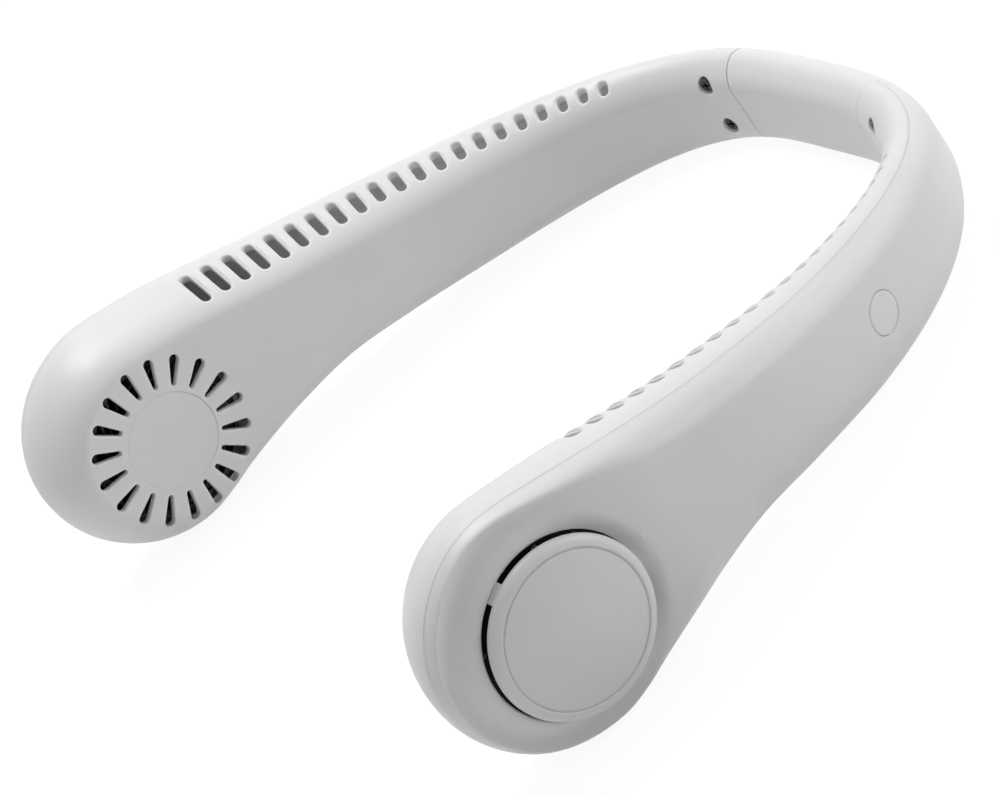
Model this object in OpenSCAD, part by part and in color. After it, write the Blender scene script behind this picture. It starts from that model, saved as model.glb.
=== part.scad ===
// Electric neck fan: a U-shaped air duct worn round the neck, with a fan pod at each end.
// Frame: X across the wearer's shoulders (+X is the wearer's left), +Y towards the nape,
// +Z up. The fan stands on the undersides of its pods and of the back of the neck band.

/* [Casing plan] */
// Half width of the U, from the middle plane to the middle of a pod
half_width = 82; // [78:0.5:90]
// Depth of the U, from the pods' axis to the middle of the neck piece
reach = 131.5; // [125:0.5:145]
// How square the U's back is
plan_squareness = 3.25; // [3:0.05:3.6]
// Place along the arm where the casing ends and the neck piece begins
seam_s = 154; // [152:0.5:157]

/* [Casing section] */
// Radius of a fan pod seen from the side
pod_r = 24.2; // [23.8:0.1:25.4]
// Depth of a pod from its middle plane to its inner face
pod_in = 14; // [13.8:0.1:15]
// Depth of an arm beside its pod, from its middle plane to its outer face
pod_out = 10.2; // [10:0.1:11]
// Depth of a pod from its middle plane to its outer rim
rim_out = 5.5; // [5.4:0.1:6.2]
// Height of the neck band at the nape
neck_h = 21.3; // [20.5:0.1:23]
// Depth of the neck band on its inner side
neck_in = 5.2; // [5:0.1:6]
// Depth of the neck band on its outer side
neck_out = 5; // [4.8:0.1:6]
// Height of the arch under each arm
arch_h = 5.6; // [5:0.1:6.5]
// Thickness of the casing's wall
wall = 1.7; // [1.4:0.05:1.8]
// Rounding of the inner edges at a pod
edge_in_pod = 7.4; // [6.5:0.1:8]
// Rounding of all edges at the nape
edge_neck = 5; // [4.5:0.1:5.4]
// Rounding of the outer edge at a pod
edge_out_pod = 2; // [1.9:0.05:2.6]
// Rounding of the outer top edge along an arm
edge_out_top = 7; // [6:0.1:8]
// Rounding of the outer lower edge along an arm
edge_out_under = 13.5; // [11:0.1:14]

/* [Air outlets] */
// Number of outlet slots in each arm
outlet_count = 21; // [15:1:21]
// Place of the first outlet slot along the arm
outlet_s0 = 26; // [25:0.5:28]
// Distance from one outlet slot to the next
outlet_pitch = 4.75; // [4.4:0.05:4.8]
// Width of an outlet slot
outlet_w = 2.1; // [1.6:0.1:2.6]

/* [Air intake] */
// Distance of the fan's axis behind the pod's middle
axis_back = 1.1; // [0.8:0.05:1.3]
// Distance of the fan's axis below the pod's middle
axis_drop = 1.2; // [0.9:0.05:1.4]
// Number of slots in the inner intake grille
grille_count = 18; // [12:1:20]
// Radius of the grille slots' outer ends
grille_r_out = 18; // [17:0.1:18.4]
// Radius of the grille slots' inner ends
grille_r_in = 11.4; // [10.8:0.1:12]
// Width of a grille slot at its outer end
grille_w_out = 2.2; // [1.8:0.1:2.6]
// Width of a grille slot at its inner end
grille_w_in = 1.1; // [0.8:0.1:1.4]
// Radius of the floating intake cover
cover_r = 16.6; // [16:0.1:17]
// Width of the gap around the intake cover
cover_gap = 0.25; // [0.25:0.05:0.6]
// Distance from a pod's middle plane to the cover's outer face
cover_out = 10.6; // [10.4:0.1:11]
// Distance from a pod's middle plane to the lip of its intake opening
lip_out = 7.3; // [7:0.05:7.5]
// Radius where the slope around the cover ends, on the arm's side
dish_r = 19; // [18.8:0.1:19.6]
// Depth of the soft valley inside a pod's rim
valley_depth = 0.9; // [0.5:0.05:1]

/* [Fan and motor] */
// Radius of the impeller
impeller_r = 16.4; // [15.8:0.1:16.6]
// Length of the impeller's blades
impeller_w = 11.8; // [10.8:0.1:12]
// Number of impeller blades
blade_count = 23; // [15:1:27]
// Radius of the motor shaft
shaft_r = 1; // [0.8:0.05:1.2]
// Radial clearance of the shaft in its bushes
shaft_fit = 0.03; // [0.01:0.01:0.05]
// Outer radius of the rotor can
rotor_r = 9.5; // [9.2:0.1:9.8]
// Number of stator poles
pole_count = 9; // [6:3:9]

/* [Power] */
// Length of a battery cell
battery_l = 45; // [38:0.5:46]
// Thickness of a battery cell
battery_t = 9; // [7:0.1:9.2]
// Room between a battery cell and the casing's underside
battery_lift = 4.8; // [4.5:0.1:6]
// Radius of the power button
button_r = 4; // [3.5:0.1:4.3]
// Travel of the power button
button_travel = 0.4; // [0.2:0.05:0.5]
// Place of the power button along the left arm
button_s = 84.8; // [84:0.1:87]
// Gap between the button and its hole
button_gap = 0.15; // [0.1:0.01:0.2]
// Width of the charging socket
usb_w = 8.94; // [8.8:0.02:9.1]
// Thickness of the charging socket
usb_t = 3.26; // [3.1:0.02:3.4]
// Length of the charging socket
usb_l = 7.3; // [6.5:0.1:7.5]

/* [Neck piece] */
// Thickness of the soft sleeve
sleeve_t = 2.2; // [1.8:0.1:2.4]
// Thickness of the spring strip in the neck piece
strip_t = 0.8; // [0.5:0.05:1]
// Height of the spring strip
strip_h = 9; // [7:0.1:10]
// Radius of a neck screw's thread
screw_r = 0.95; // [0.8:0.05:1.1]
// Radius of a neck screw's head
screw_head_r = 1.5; // [1.3:0.05:1.6]

/* [Hidden] */

// Clearances
seat_gap = 0.3;
hairline = 0.12;
cut_over = 1;
eps_fit = 0.02;

// Section exponents and shares
in_power = 1.7;
out_power = 1.9;
parting_share = 0.42;
parting_tip_share = 0.05;
path_n = 140;
arm_n = 26;
pod_n = 22;
// Fall of the top edge from the pod (1) to the nape (0), over the arm's length
top_shares = [[0, 1], [0.035, 0.973], [0.112, 0.8625], [0.168, 0.765], [0.253, 0.615],
    [0.337, 0.485], [0.45, 0.32], [0.562, 0.19], [0.674, 0.085], [0.787, 0.018], [1, 0]];
// Rise of the underside, from the pod to the nape
arch_shares = [[0, 0], [0.035, 0.14], [0.07, 0.4], [0.112, 0.63], [0.168, 0.86],
    [0.24, 1], [0.337, 0.72], [0.45, 0.3], [0.562, 0.07], [0.674, 0], [1, 0]];
// Slimming of the section from the pod (1) to the nape (0)
slim_shares = [[0, 1], [0.08, 1], [0.3, 0.86], [0.53, 0.42], [0.76, 0.04], [1, 0]];
// Height of the air duct above its floor, as shares of the pod's radius
duct_shares = [[0, 0.94], [0.107, 0.92], [0.152, 0.7], [0.191, 0.49], [0.326, 0.32],
    [0.455, 0.21], [0.562, 0.155], [0.685, 0.12], [1, 0.12]];

// Interpolation that passes smoothly through a table of shares
function seg_of(t, x, i = 0) = (i >= len(t) - 2 || x < t[i + 1][0]) ? i : seg_of(t, x, i + 1);
function slope_of(t, i) =
    (i == 0 || i == len(t) - 1) ? 0 :
    (t[i + 1][1] - t[i][1]) * (t[i][1] - t[i - 1][1]) <= 0 ? 0 :
        (t[i + 1][1] - t[i - 1][1]) / (t[i + 1][0] - t[i - 1][0]);
function smooth_at(t, x) =
    let (i = seg_of(t, x), w = t[i + 1][0] - t[i][0], u = (x - t[i][0]) / w,
        m0 = slope_of(t, i) * w, m1 = slope_of(t, i + 1) * w)
    t[i][1] * (1 - 3 * u * u + 2 * u * u * u) + t[i + 1][1] * (3 * u * u - 2 * u * u * u)
        + m0 * (u - 2 * u * u + u * u * u) + m1 * (u * u * u - u * u);
function ease(u) = let (v = max(0, min(1, u))) v * v * (3 - 2 * v);
function last(v) = v[len(v) - 1];

// Plan curve of the casing's middle surface, as places and turns along its length
plan_pts = [for (i = [0:path_n])
    let (a = 90 * (1 - pow(1 - i / path_n, plan_squareness / 2)))
    [half_width * pow(cos(a), 2 / plan_squareness), reach * sin(a)]];
plan_len = [for (i = 0, s = 0; i <= path_n;
    s = i < path_n ? s + norm(plan_pts[i + 1] - plan_pts[i]) : s, i = i + 1) s];
half_len = last(plan_len);
x_tab = [for (i = [0:path_n]) [plan_len[i], plan_pts[i][0]]];
y_tab = [for (i = [0:path_n]) [plan_len[i], plan_pts[i][1]]];
turn_tab = [for (i = [0:path_n]) [plan_len[i],
    i == 0 ? 0 : i == path_n ? 90 :
        atan2(plan_pts[i - 1][0] - plan_pts[i + 1][0], plan_pts[i + 1][1] - plan_pts[i - 1][1])]];
function turn(s) = s <= 0 ? 0 : lookup(s, turn_tab);
// Point of the casing at length s, depth n outwards and height z
function wrap(s, n, z) = s <= 0 ? [half_width + n, s, z] :
    [lookup(s, x_tab) + n * cos(turn(s)), lookup(s, y_tab) + n * sin(turn(s)), z];

// Side outline and depths of the casing
neck_top = neck_h - pod_r;
function share_s(s) = max(0, s) / half_len;
function top_z(s) = s < 0 ? sqrt(max(0, pod_r * pod_r - s * s)) :
    neck_top + (pod_r - neck_top) * smooth_at(top_shares, share_s(s));
function bot_z(s) = s < 0 ? -sqrt(max(0, pod_r * pod_r - s * s)) :
    arch_h * smooth_at(arch_shares, share_s(s)) - pod_r;
function mid_z(s) = (top_z(s) + bot_z(s)) / 2;
function in_t(s) = neck_in + (pod_in - neck_in) * smooth_at(slim_shares, share_s(s));
// The pods' free ends are shallower than the arms; tip is 1 at a free end and 0 on the arm
tip_back = 8;
tip_len = 36;
function tip(s) = 1 - ease((s + tip_back) / tip_len);
function out_t(s) = neck_out + (pod_out - neck_out) * smooth_at(slim_shares, share_s(s))
    - (pod_out - rim_out) * tip(s);
function parting_n(s) = (parting_share + parting_tip_share * tip(s)) * out_t(s);
// Blends from pod to arm and from arm to nape, as shares of the arm's length
arm_share = 0.25;
nape_share = 0.56;
function to_arm(s) = ease(share_s(s) / arm_share);
function to_nape(s) = ease((share_s(s) - nape_share) / (1 - nape_share));
function mix3(pod, arm, nape, s) =
    let (a = pod + (arm - pod) * to_arm(s)) a + (nape - a) * to_nape(s);
function edge_in(s) = mix3(edge_in_pod, edge_in_pod, edge_neck, s);
function edge_out(s, upper) =
    mix3(edge_out_pod, upper ? edge_out_top : edge_out_under, edge_neck, s);

// Slope around the intake cover, wider towards the pod's free end
opening_r = cover_r + cover_gap;
dish_more = 4;
function dish_end(s) = dish_r + dish_more * tip(s);
function from_axis(s, z) = norm([s - axis_back, z + axis_drop]);
// Soft valley that follows the pod's outline, at edge distances from crest_d on
crest_d = 0.6;
valley_w = 6;
function edge_dist(s, z) = s < 0 ? pod_r - norm([s, z]) : min(top_z(s) - z, z - bot_z(s));
function valley(s, z) =
    let (v = max(0, min(1, (edge_dist(s, z) - crest_d) / valley_w))) pow(sin(180 * v), 2);
function dish(s, z) =
    (out_t(s) - lip_out) * ease((dish_end(s) - from_axis(s, z)) / (dish_end(s) - opening_r))
        + valley_depth * valley(s, z) * tip(s);

// Depth of the skin at edge distance d, for a skin set in by w; out is 1 outside, -1 inside
function room(s, d, w, out, upper) =
    let (t = (out > 0 ? out_t(s) : in_t(s)) - w,
        r = (out > 0 ? edge_out(s, upper) : edge_in(s)) - w,
        p = out > 0 ? out_power : in_power,
        u = max(0, min(1, (d - w) / r)))
    t * pow(1 - pow(1 - u, p), 1 / p);

// Ribs: each runs from the side outline to the arm's middle line or the pod's centre
function arm_s(j) = seam_s * pow(j / arm_n, 1.12);
ribs = concat(
    [for (j = [arm_n:-1:0]) let (s = arm_s(j)) [s, top_z(s), s, mid_z(s), 1]],
    [for (k = [1:pod_n - 1]) let (a = 90 + 180 * k / pod_n)
        [pod_r * cos(a), pod_r * sin(a), 0, 0, sin(a)]],
    [for (j = [0:arm_n]) let (s = arm_s(j)) [s, bot_z(s), s, mid_z(s), -1]]);
rib_count = len(ribs);
function rib_len(r) = norm([r[2] - r[0], r[3] - r[1]]);
function rib_at(r, d) = let (l = rib_len(r))
    [r[0] + (r[2] - r[0]) * d / l, r[1] + (r[3] - r[1]) * d / l];
// Point of the skin on rib r at section angle a (-90 inside, 0 rim, 90 outside), set in by w
rib_limit_share = 0.94;
function skin_arc(r, a, w) =
    let (out = a > 0, s0 = max(0, r[0]), upper = r[4] > 0,
        e = min(out ? edge_out(s0, upper) : edge_in(s0), rib_len(r) * rib_limit_share) - w,
        p = out ? out_power : in_power,
        d = w + e * (1 - pow(max(0, cos(a)), 2 / p)),
        q = rib_at(r, d),
        t = (out ? out_t(q[0]) : in_t(q[0])) - w,
        n = (out ? 1 : -1) * t * pow(abs(sin(a)), 2 / p),
        sink = out ? dish(q[0], q[1]) * ease((abs(sin(a)) - 0.55) / 0.45) : 0)
    wrap(q[0], n - sink, q[1]);
// Point on the flat part of a face, at share f from the rounding to the middle line
function skin_flat(r, f, out, w) =
    let (s0 = max(0, r[0]), upper = r[4] > 0, l = rib_len(r),
        e = min(out > 0 ? edge_out(s0, upper) : edge_in(s0), l * rib_limit_share),
        q = rib_at(r, e + (l - e) * f))
    wrap(q[0], out > 0 ? out_t(q[0]) - w - dish(q[0], q[1]) : w - in_t(q[0]), q[1]);
// Section angle at which a skin set in by w reaches depth n
function depth_a(s, w, n) = asin(pow(n / (out_t(s) - w), out_power / 2));

inner_arcs = [for (a = [0:-18:-90]) a];
outer_arc_n = 5;
flat_shares_in = [0.5, 1];
flat_shares_out = [0.05, 0.11, 0.18, 0.26, 0.55, 1];
// Skin of one half of the casing along one rib, from the parting edge to the middle line
function inner_rib(r, w) = let (s = r[0], ap = depth_a(s, w, parting_n(s))) concat(
    [skin_arc(r, ap, w), skin_arc(r, ap / 2, w)],
    [for (a = inner_arcs) skin_arc(r, a, w)],
    [for (f = flat_shares_in) skin_flat(r, f, -1, w)]);
function outer_rib(r, w) = let (s = r[0], ap = depth_a(s, w, parting_n(s) + hairline)) concat(
    [for (k = [0:outer_arc_n]) skin_arc(r, ap + (90 - ap) * k / outer_arc_n, w)],
    [for (f = flat_shares_out) skin_flat(r, f, 1, w)]);

// Closed half shell from its two skins. Ribs that face each other share their last point.
function twin(j) = j <= arm_n ? j : j >= arm_n + pod_n ? rib_count - 1 - j : arm_n;
function vid(j, k, kn, base) = base + (k < kn - 1 ? j * kn + k : twin(j) * kn + k);
function tri(a, b, c) = (a == b || b == c || a == c) ? [] : [[a, b, c]];
function quad(a, b, c, d) = concat(tri(a, b, c), tri(a, c, d));
function flip(faces, yes) = [for (f = faces) yes ? [f[2], f[1], f[0]] : f];
function join(lists) = [for (l = lists) each l];
module half_shell(outer_skin, inner_skin, turned) {
    kn = len(outer_skin[0]);
    base = rib_count * kn;
    skin_faces = join([for (j = [0:rib_count - 2]) for (k = [0:kn - 2]) concat(
        quad(vid(j, k, kn, 0), vid(j + 1, k, kn, 0),
            vid(j + 1, k + 1, kn, 0), vid(j, k + 1, kn, 0)),
        quad(vid(j, k, kn, base), vid(j, k + 1, kn, base),
            vid(j + 1, k + 1, kn, base), vid(j + 1, k, kn, base)))]);
    edge_faces = join([for (j = [0:rib_count - 2])
        quad(vid(j, 0, kn, 0), vid(j, 0, kn, base),
            vid(j + 1, 0, kn, base), vid(j + 1, 0, kn, 0))]);
    end_faces = join([for (k = [0:kn - 2]) concat(
        quad(vid(0, k, kn, 0), vid(0, k + 1, kn, 0),
            vid(0, k + 1, kn, base), vid(0, k, kn, base)),
        quad(vid(rib_count - 1, k, kn, 0), vid(rib_count - 1, k, kn, base),
            vid(rib_count - 1, k + 1, kn, base), vid(rib_count - 1, k + 1, kn, 0)))]);
    polyhedron(
        points = concat(join(outer_skin), join(inner_skin)),
        faces = flip(concat(skin_faces, edge_faces, end_faces), turned));
}

// Frames
mid_y = (reach + neck_out - pod_r) / 2;
module placed() {
    translate([0, -mid_y, pod_r]) children();
}
module right_side() {
    mirror([1, 0, 0]) children();
}
// Children at length s, depth n and height z: X outwards, Y along the arm, Z up
module at(s, n, z) {
    translate(wrap(s, n, z)) rotate([0, 0, turn(s)]) children();
}
// Children on a pod's axis: Z outwards, X forward along the arm, Y up
module on_pod(n) {
    translate([half_width + n, axis_back, -axis_drop]) rotate([90, 0, 90]) children();
}

// Outlet slots: each cut runs square to the rounded upper inner edge
slot_a0 = 12;
slot_a1 = 58;
slot_deep = 3.4;
slot_out = 2.5;
function edge_pt(s, a) =
    let (e = edge_in(s))
    [-in_t(s) * pow(sin(a), 2 / in_power), top_z(s) - e * (1 - pow(cos(a), 2 / in_power))];
module stadium(l, w) {
    polygon(concat(
        [for (a = [-90:30:90]) [l / 2 - w / 2 + w / 2 * cos(a), w / 2 * sin(a)]],
        [for (a = [90:30:270]) [w / 2 - l / 2 + w / 2 * cos(a), w / 2 * sin(a)]]));
}
module outlet_cut(s) {
    p = edge_pt(s, slot_a0);
    q = edge_pt(s, slot_a1);
    c = (p + q) / 2;
    at(s, c[0], c[1])
        rotate([0, -atan2(p[1] - q[1], p[0] - q[0]), 0])
            translate([0, 0, -slot_deep])
                linear_extrude(slot_deep + slot_out) stadium(norm(p - q), outlet_w);
}

// Grille slots: round outer end, narrower inner end
module grille_slot() {
    ro = grille_w_out / 2;
    ri = grille_w_in / 2;
    polygon(concat(
        [for (a = [-90:30:90]) [grille_r_out - ro + ro * cos(a), ro * sin(a)]],
        [for (a = [90:45:270]) [grille_r_in + ri + ri * cos(a), ri * sin(a)]]));
}

// Screws of the neck piece
screw_s = 146.5;
screw_drop = 4.6;
screw_rise = 6.6;
function screw_z(k) = k == 0 ? top_z(screw_s) - screw_drop : bot_z(screw_s) + screw_rise;
head_h = 1.1;
screw_l = 6.8;
boss_r = 2.2;
boss_fit = 0.15;
screw_fit = 0.03;
// Rest of the neck plug, which the screws pass through
plug_s0 = 138;
plug_s1 = 163;
tongue_set = sleeve_t + seat_gap;
body_set = wall + seat_gap;

// Motor stack, measured along the pod's axis from the inner wall
wall_n = wall - pod_in;
base_t = 1.2;
base_r = 8.6;
tube_r = 2.6;
bush_r = 1.6;
bush_l = 2.6;
bush_gap = 0.01;
tube_l = 10;
stator_n0 = base_t + 1;
stator_l = 6.4;
magnet_t = 1.2;
magnet_gap = 0.4;
can_t = 0.6;
can_n0 = base_t + 0.6;
can_n1 = tube_l + 0.9;
hub_t = 1.1;
hub_n1 = can_n1 + hub_t;
shaft_n0 = 0.5;
magnet_r = rotor_r - can_t;
stator_r = magnet_r - magnet_t - magnet_gap;
blade_n0 = base_t + 0.5;
blade_n1 = blade_n0 + impeller_w;
blade_t = 0.7;
blade_in_r = 12;
ring_w = 0.8;
ring_t = 1;
inlet_t = 1;
inlet_clear = 0.6;
inlet_n = blade_n1 + inlet_clear;
inlet_eye_r = 12.6;
inlet_r = opening_r + 2.2;
flange_t = 1.2;
flange_sink = 1.1;

// Intake cover
cover_rim_drop = 1.3;
cover_bevel = 1.3;
cover_edge = 1;
cover_plate = 2;
cover_fall = 0.2;
groove_r = 14.4;
groove_w = 0.45;
groove_d = 0.35;
skirt_t = 1.2;
tab_w = 4;
tab_t = 1.2;
tab_a = 115.5;
tab_count = 3;
tab_n = lip_out - tab_t - hairline;
post_r = 0.75;
post_at = 13.6;
post_turn = 75;
inlet_top = wall_n + inlet_n + inlet_t;
// Screws of the inlet ring, in pairs beside each tab
ring_screw_turns = [-16.5, 44.5];
ring_screw_in = 2.4;
ring_screw_r = 0.55;
ring_head_r = 0.75;
ring_head_h = 0.5;
ring_screw_l = 0.8;
ring_screw_at = inlet_eye_r + ring_screw_in;

// Bosses of the neck screws: the inner shell's hold the heads, the outer shell's the threads
inner_boss_l = 3;
outer_boss_n = 1.6;
head_seat = 1.7;
module at_screws() {
    for (k = [0, 1]) at(screw_s, 0, screw_z(k)) rotate([0, 90, 0]) children();
}
module inner_casing(port) {
    difference() {
        union() {
            half_shell(
                [for (r = ribs) inner_rib(r, 0)],
                [for (r = ribs) inner_rib(r, wall)], false);
            at_screws()
                translate([0, 0, wall / 2 - in_t(screw_s)])
                    cylinder(h = inner_boss_l - wall / 2, r = boss_r, $fn = 32);
        }
        for (i = [0:outlet_count - 1]) outlet_cut(outlet_s0 + i * outlet_pitch);
        for (i = [0:grille_count - 1])
            on_pod(-pod_in - cut_over)
                rotate([0, 0, 360 / grille_count * (i + 0.5)])
                    linear_extrude(wall + 2 * cut_over) grille_slot();
        at_screws() {
            translate([0, 0, -pod_in]) cylinder(h = pod_in, r = screw_r + boss_fit, $fn = 32);
            translate([0, 0, -pod_in])
                cylinder(h = pod_in - in_t(screw_s) + head_seat, r = screw_head_r + boss_fit, $fn = 32);
        }
        if (port) port_cut();
    }
}

module outer_casing(hole) {
    difference() {
        union() {
            half_shell(
                [for (r = ribs) outer_rib(r, 0)],
                [for (r = ribs) outer_rib(r, wall)], true);
            on_pod(inlet_top + seat_gap)
                cylinder(h = lip_out - flange_sink - inlet_top - seat_gap,
                    r = opening_r + flange_t, $fn = 96);
            at_screws()
                translate([0, 0, outer_boss_n])
                    cylinder(h = out_t(screw_s) - wall / 2 - outer_boss_n, r = boss_r, $fn = 32);
        }
        on_pod(0) cylinder(h = pod_out + cut_over, r = opening_r, $fn = 96);
        at_screws() cylinder(h = out_t(screw_s) - wall, r = screw_r + screw_fit, $fn = 32);
        if (hole)
            at(button_s, 0, mid_z(button_s))
                rotate([0, 90, 0])
                    cylinder(h = pod_out + cut_over, r = button_r + button_gap, $fn = 64);
    }
}

// Lofts along the arm: closed rings of points at rising stations
module loft(rings) {
    m = len(rings[0]);
    c = len(rings);
    polyhedron(
        points = join(rings),
        faces = concat(
            [[for (i = [0:m - 1]) i]],
            [[for (i = [m - 1:-1:0]) (c - 1) * m + i]],
            join([for (j = [0:c - 2]) for (i = [0:m - 1])
                let (a = j * m + i, b = j * m + (i + 1) % m)
                [[a, b + m, b], [a, a + m, b + m]]])));
}
// Ring of the casing's section at length s, set in by w
ring_steps = [-90, -60, -36, -16, 0, 16, 36, 60, 90];
function ring_half(s, w, upper) = [for (a = ring_steps)
    let (out = a > 0, e = (out ? edge_out(s, upper) : edge_in(s)) - w,
        p = out ? out_power : in_power,
        t = (out ? out_t(s) : in_t(s)) - w,
        d = w + e * (1 - pow(max(0, cos(a)), 2 / p)))
    [(out ? 1 : -1) * t * pow(abs(sin(a)), 2 / p), upper ? top_z(s) - d : bot_z(s) + d]];
function reversed(v) = [for (i = [len(v) - 1:-1:0]) v[i]];
function section_ring(s, w) = concat(ring_half(s, w, true), reversed(ring_half(s, w, false)));
function wrap_ring(s, ring) = [for (q = ring) wrap(s, q[0], q[1])];
function mirror_ring(ring) = [for (p = ring) [-p[0], p[1], p[2]]];
function across(stations, ringf) = concat(
    [for (s = stations) ringf(s)],
    [for (i = [len(stations) - 2:-1:0]) mirror_ring(ringf(stations[i]))]);

// Round tube along a route
function tube_ring(p, t, r, n) =
    let (u = t / norm(t), side = cross(u, [0, 0, 1]), v = side / norm(side), w = cross(v, u))
    [for (k = [0:n - 1]) p + r * (cos(360 * k / n) * v - sin(360 * k / n) * w)];
module tube(pts, r, n = 8) {
    c = len(pts);
    loft([for (i = [0:c - 1])
        tube_ring(pts[i], pts[min(c - 1, i + 1)] - pts[max(0, i - 1)], r, n)]);
}

// Intake cover on a pod: a domed disc with a groove, a skirt, tabs and posts
module intake_cover() {
    color([0.93, 0.93, 0.94]) on_pod(0) {
        rotate_extrude($fn = 96)
            polygon([
                [0, cover_out - cover_plate],
                [0, cover_out],
                [groove_r - groove_w / 2, cover_out],
                [groove_r - groove_w / 2, cover_out - groove_d],
                [groove_r + groove_w / 2, cover_out - groove_d],
                [groove_r + groove_w / 2, cover_out],
                [cover_r - cover_bevel, cover_out - cover_fall],
                [cover_r, cover_out - cover_rim_drop],
                [cover_r, cover_out - cover_rim_drop - cover_edge],
                [cover_r - skirt_t, cover_out - cover_rim_drop - cover_edge],
                [cover_r - skirt_t, cover_out - cover_plate]]);
        for (i = [0:tab_count - 1])
            rotate([0, 0, tab_a + 360 / tab_count * i]) {
                translate([cover_r - skirt_t, -tab_w / 2, tab_n])
                    cube([cover_gap + skirt_t - hairline, tab_w, tab_t]);
                translate([cover_r - skirt_t, -tab_w / 2, tab_n])
                    cube([skirt_t - hairline, tab_w,
                        cover_out - cover_rim_drop - cover_edge / 2 - tab_n]);
                rotate([0, 0, post_turn])
                    translate([post_at, 0, inlet_top])
                        cylinder(h = cover_out - cover_plate / 2 - inlet_top, r = post_r, $fn = 24);
            }
    }
}

module inlet_ring() {
    color([0.16, 0.16, 0.17]) on_pod(wall_n + inlet_n)
        difference() {
            cylinder(h = inlet_t, r = inlet_r, $fn = 96);
            translate([0, 0, -cut_over])
                cylinder(h = inlet_t + 2 * cut_over, r = inlet_eye_r, $fn = 96);
            at_ring_screws() translate([0, 0, -cut_over])
                cylinder(h = inlet_t + 2 * cut_over, r = ring_screw_r + screw_fit, $fn = 24);
        }
}
module at_ring_screws() {
    for (i = [0:tab_count - 1])
        for (a = ring_screw_turns)
            rotate([0, 0, tab_a + a + 360 / tab_count * i])
                translate([ring_screw_at, 0, 0]) children();
}
module inlet_screws() {
    color([0.75, 0.76, 0.78]) on_pod(inlet_top) at_ring_screws() {
        cylinder(h = ring_head_h, r = ring_head_r - ring_fit, $fn = 24);
        translate([0, 0, -ring_screw_l]) cylinder(h = ring_screw_l + eps_fit, r = ring_screw_r, $fn = 24);
    }
}
ring_fit = 0.08;

// Impeller with blades on both sides of a web
blade_a = 28;
blade_steps = 5;
function blade_pt(f, off) =
    let (r = blade_in_r + (impeller_r - ring_w / 2 - blade_in_r) * f,
        a = blade_a * (f - 1) * (f - 1) * 0.9 + off / r * 180 / PI)
    [r * cos(a), r * sin(a)];
module impeller() {
    color([0.22, 0.22, 0.24]) on_pod(wall_n) {
        difference() {
            union() {
                translate([0, 0, can_n0])
                    cylinder(h = hub_n1 - can_n0, r = rotor_r + hub_t, $fn = 64);
                translate([0, 0, can_n1])
                    cylinder(h = hub_t, r = impeller_r - ring_w, $fn = 96);
            }
            translate([0, 0, can_n0 - cut_over])
                cylinder(h = can_n1 - can_n0 + cut_over, r = rotor_r, $fn = 64);
            cylinder(h = hub_n1 + cut_over, r = shaft_r, $fn = 32);
        }
        for (i = [0:blade_count - 1])
            rotate([0, 0, 360 / blade_count * i])
                translate([0, 0, blade_n0])
                    linear_extrude(impeller_w)
                        polygon(concat(
                            [for (k = [0:blade_steps]) blade_pt(k / blade_steps, -blade_t / 2)],
                            [for (k = [blade_steps:-1:0]) blade_pt(k / blade_steps, blade_t / 2)]));
        for (z = [blade_n0, blade_n1 - ring_t])
            translate([0, 0, z])
                difference() {
                    cylinder(h = ring_t, r = impeller_r, $fn = 96);
                    translate([0, 0, -cut_over])
                        cylinder(h = ring_t + 2 * cut_over, r = impeller_r - ring_w, $fn = 96);
                }
    }
}

module rotor_can() {
    color([0.72, 0.73, 0.75]) on_pod(wall_n)
        difference() {
            translate([0, 0, can_n0]) cylinder(h = can_n1 - can_n0, r = rotor_r, $fn = 64);
            translate([0, 0, can_n0 - cut_over])
                cylinder(h = can_n1 - can_n0 - can_t + cut_over, r = magnet_r, $fn = 64);
            cylinder(h = can_n1 + cut_over, r = shaft_r, $fn = 32);
        }
}

module magnet_ring() {
    color([0.3, 0.3, 0.32]) on_pod(wall_n + stator_n0)
        difference() {
            cylinder(h = stator_l, r = magnet_r, $fn = 64);
            translate([0, 0, -cut_over])
                cylinder(h = stator_l + 2 * cut_over, r = magnet_r - magnet_t, $fn = 64);
        }
}

module motor_shaft() {
    color([0.8, 0.81, 0.83]) on_pod(wall_n + shaft_n0)
        cylinder(h = hub_n1 - shaft_n0, r = shaft_r, $fn = 32);
}

module motor_base() {
    color([0.35, 0.36, 0.38]) on_pod(wall_n)
        difference() {
            union() {
                cylinder(h = base_t, r = base_r, $fn = 64);
                cylinder(h = tube_l, r = tube_r, $fn = 48);
            }
            translate([0, 0, shaft_n0 - eps_fit])
                cylinder(h = tube_l + cut_over, r = bush_r, $fn = 48);
        }
}

module bushes() {
    color([0.7, 0.55, 0.3]) on_pod(wall_n)
        for (z = [shaft_n0 + bush_l / 2, tube_l - bush_l])
            translate([0, 0, z])
                difference() {
                    cylinder(h = bush_l, r = bush_r - bush_gap, $fn = 48);
                    translate([0, 0, -cut_over])
                        cylinder(h = bush_l + 2 * cut_over, r = shaft_r + shaft_fit, $fn = 32);
                }
}

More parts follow.
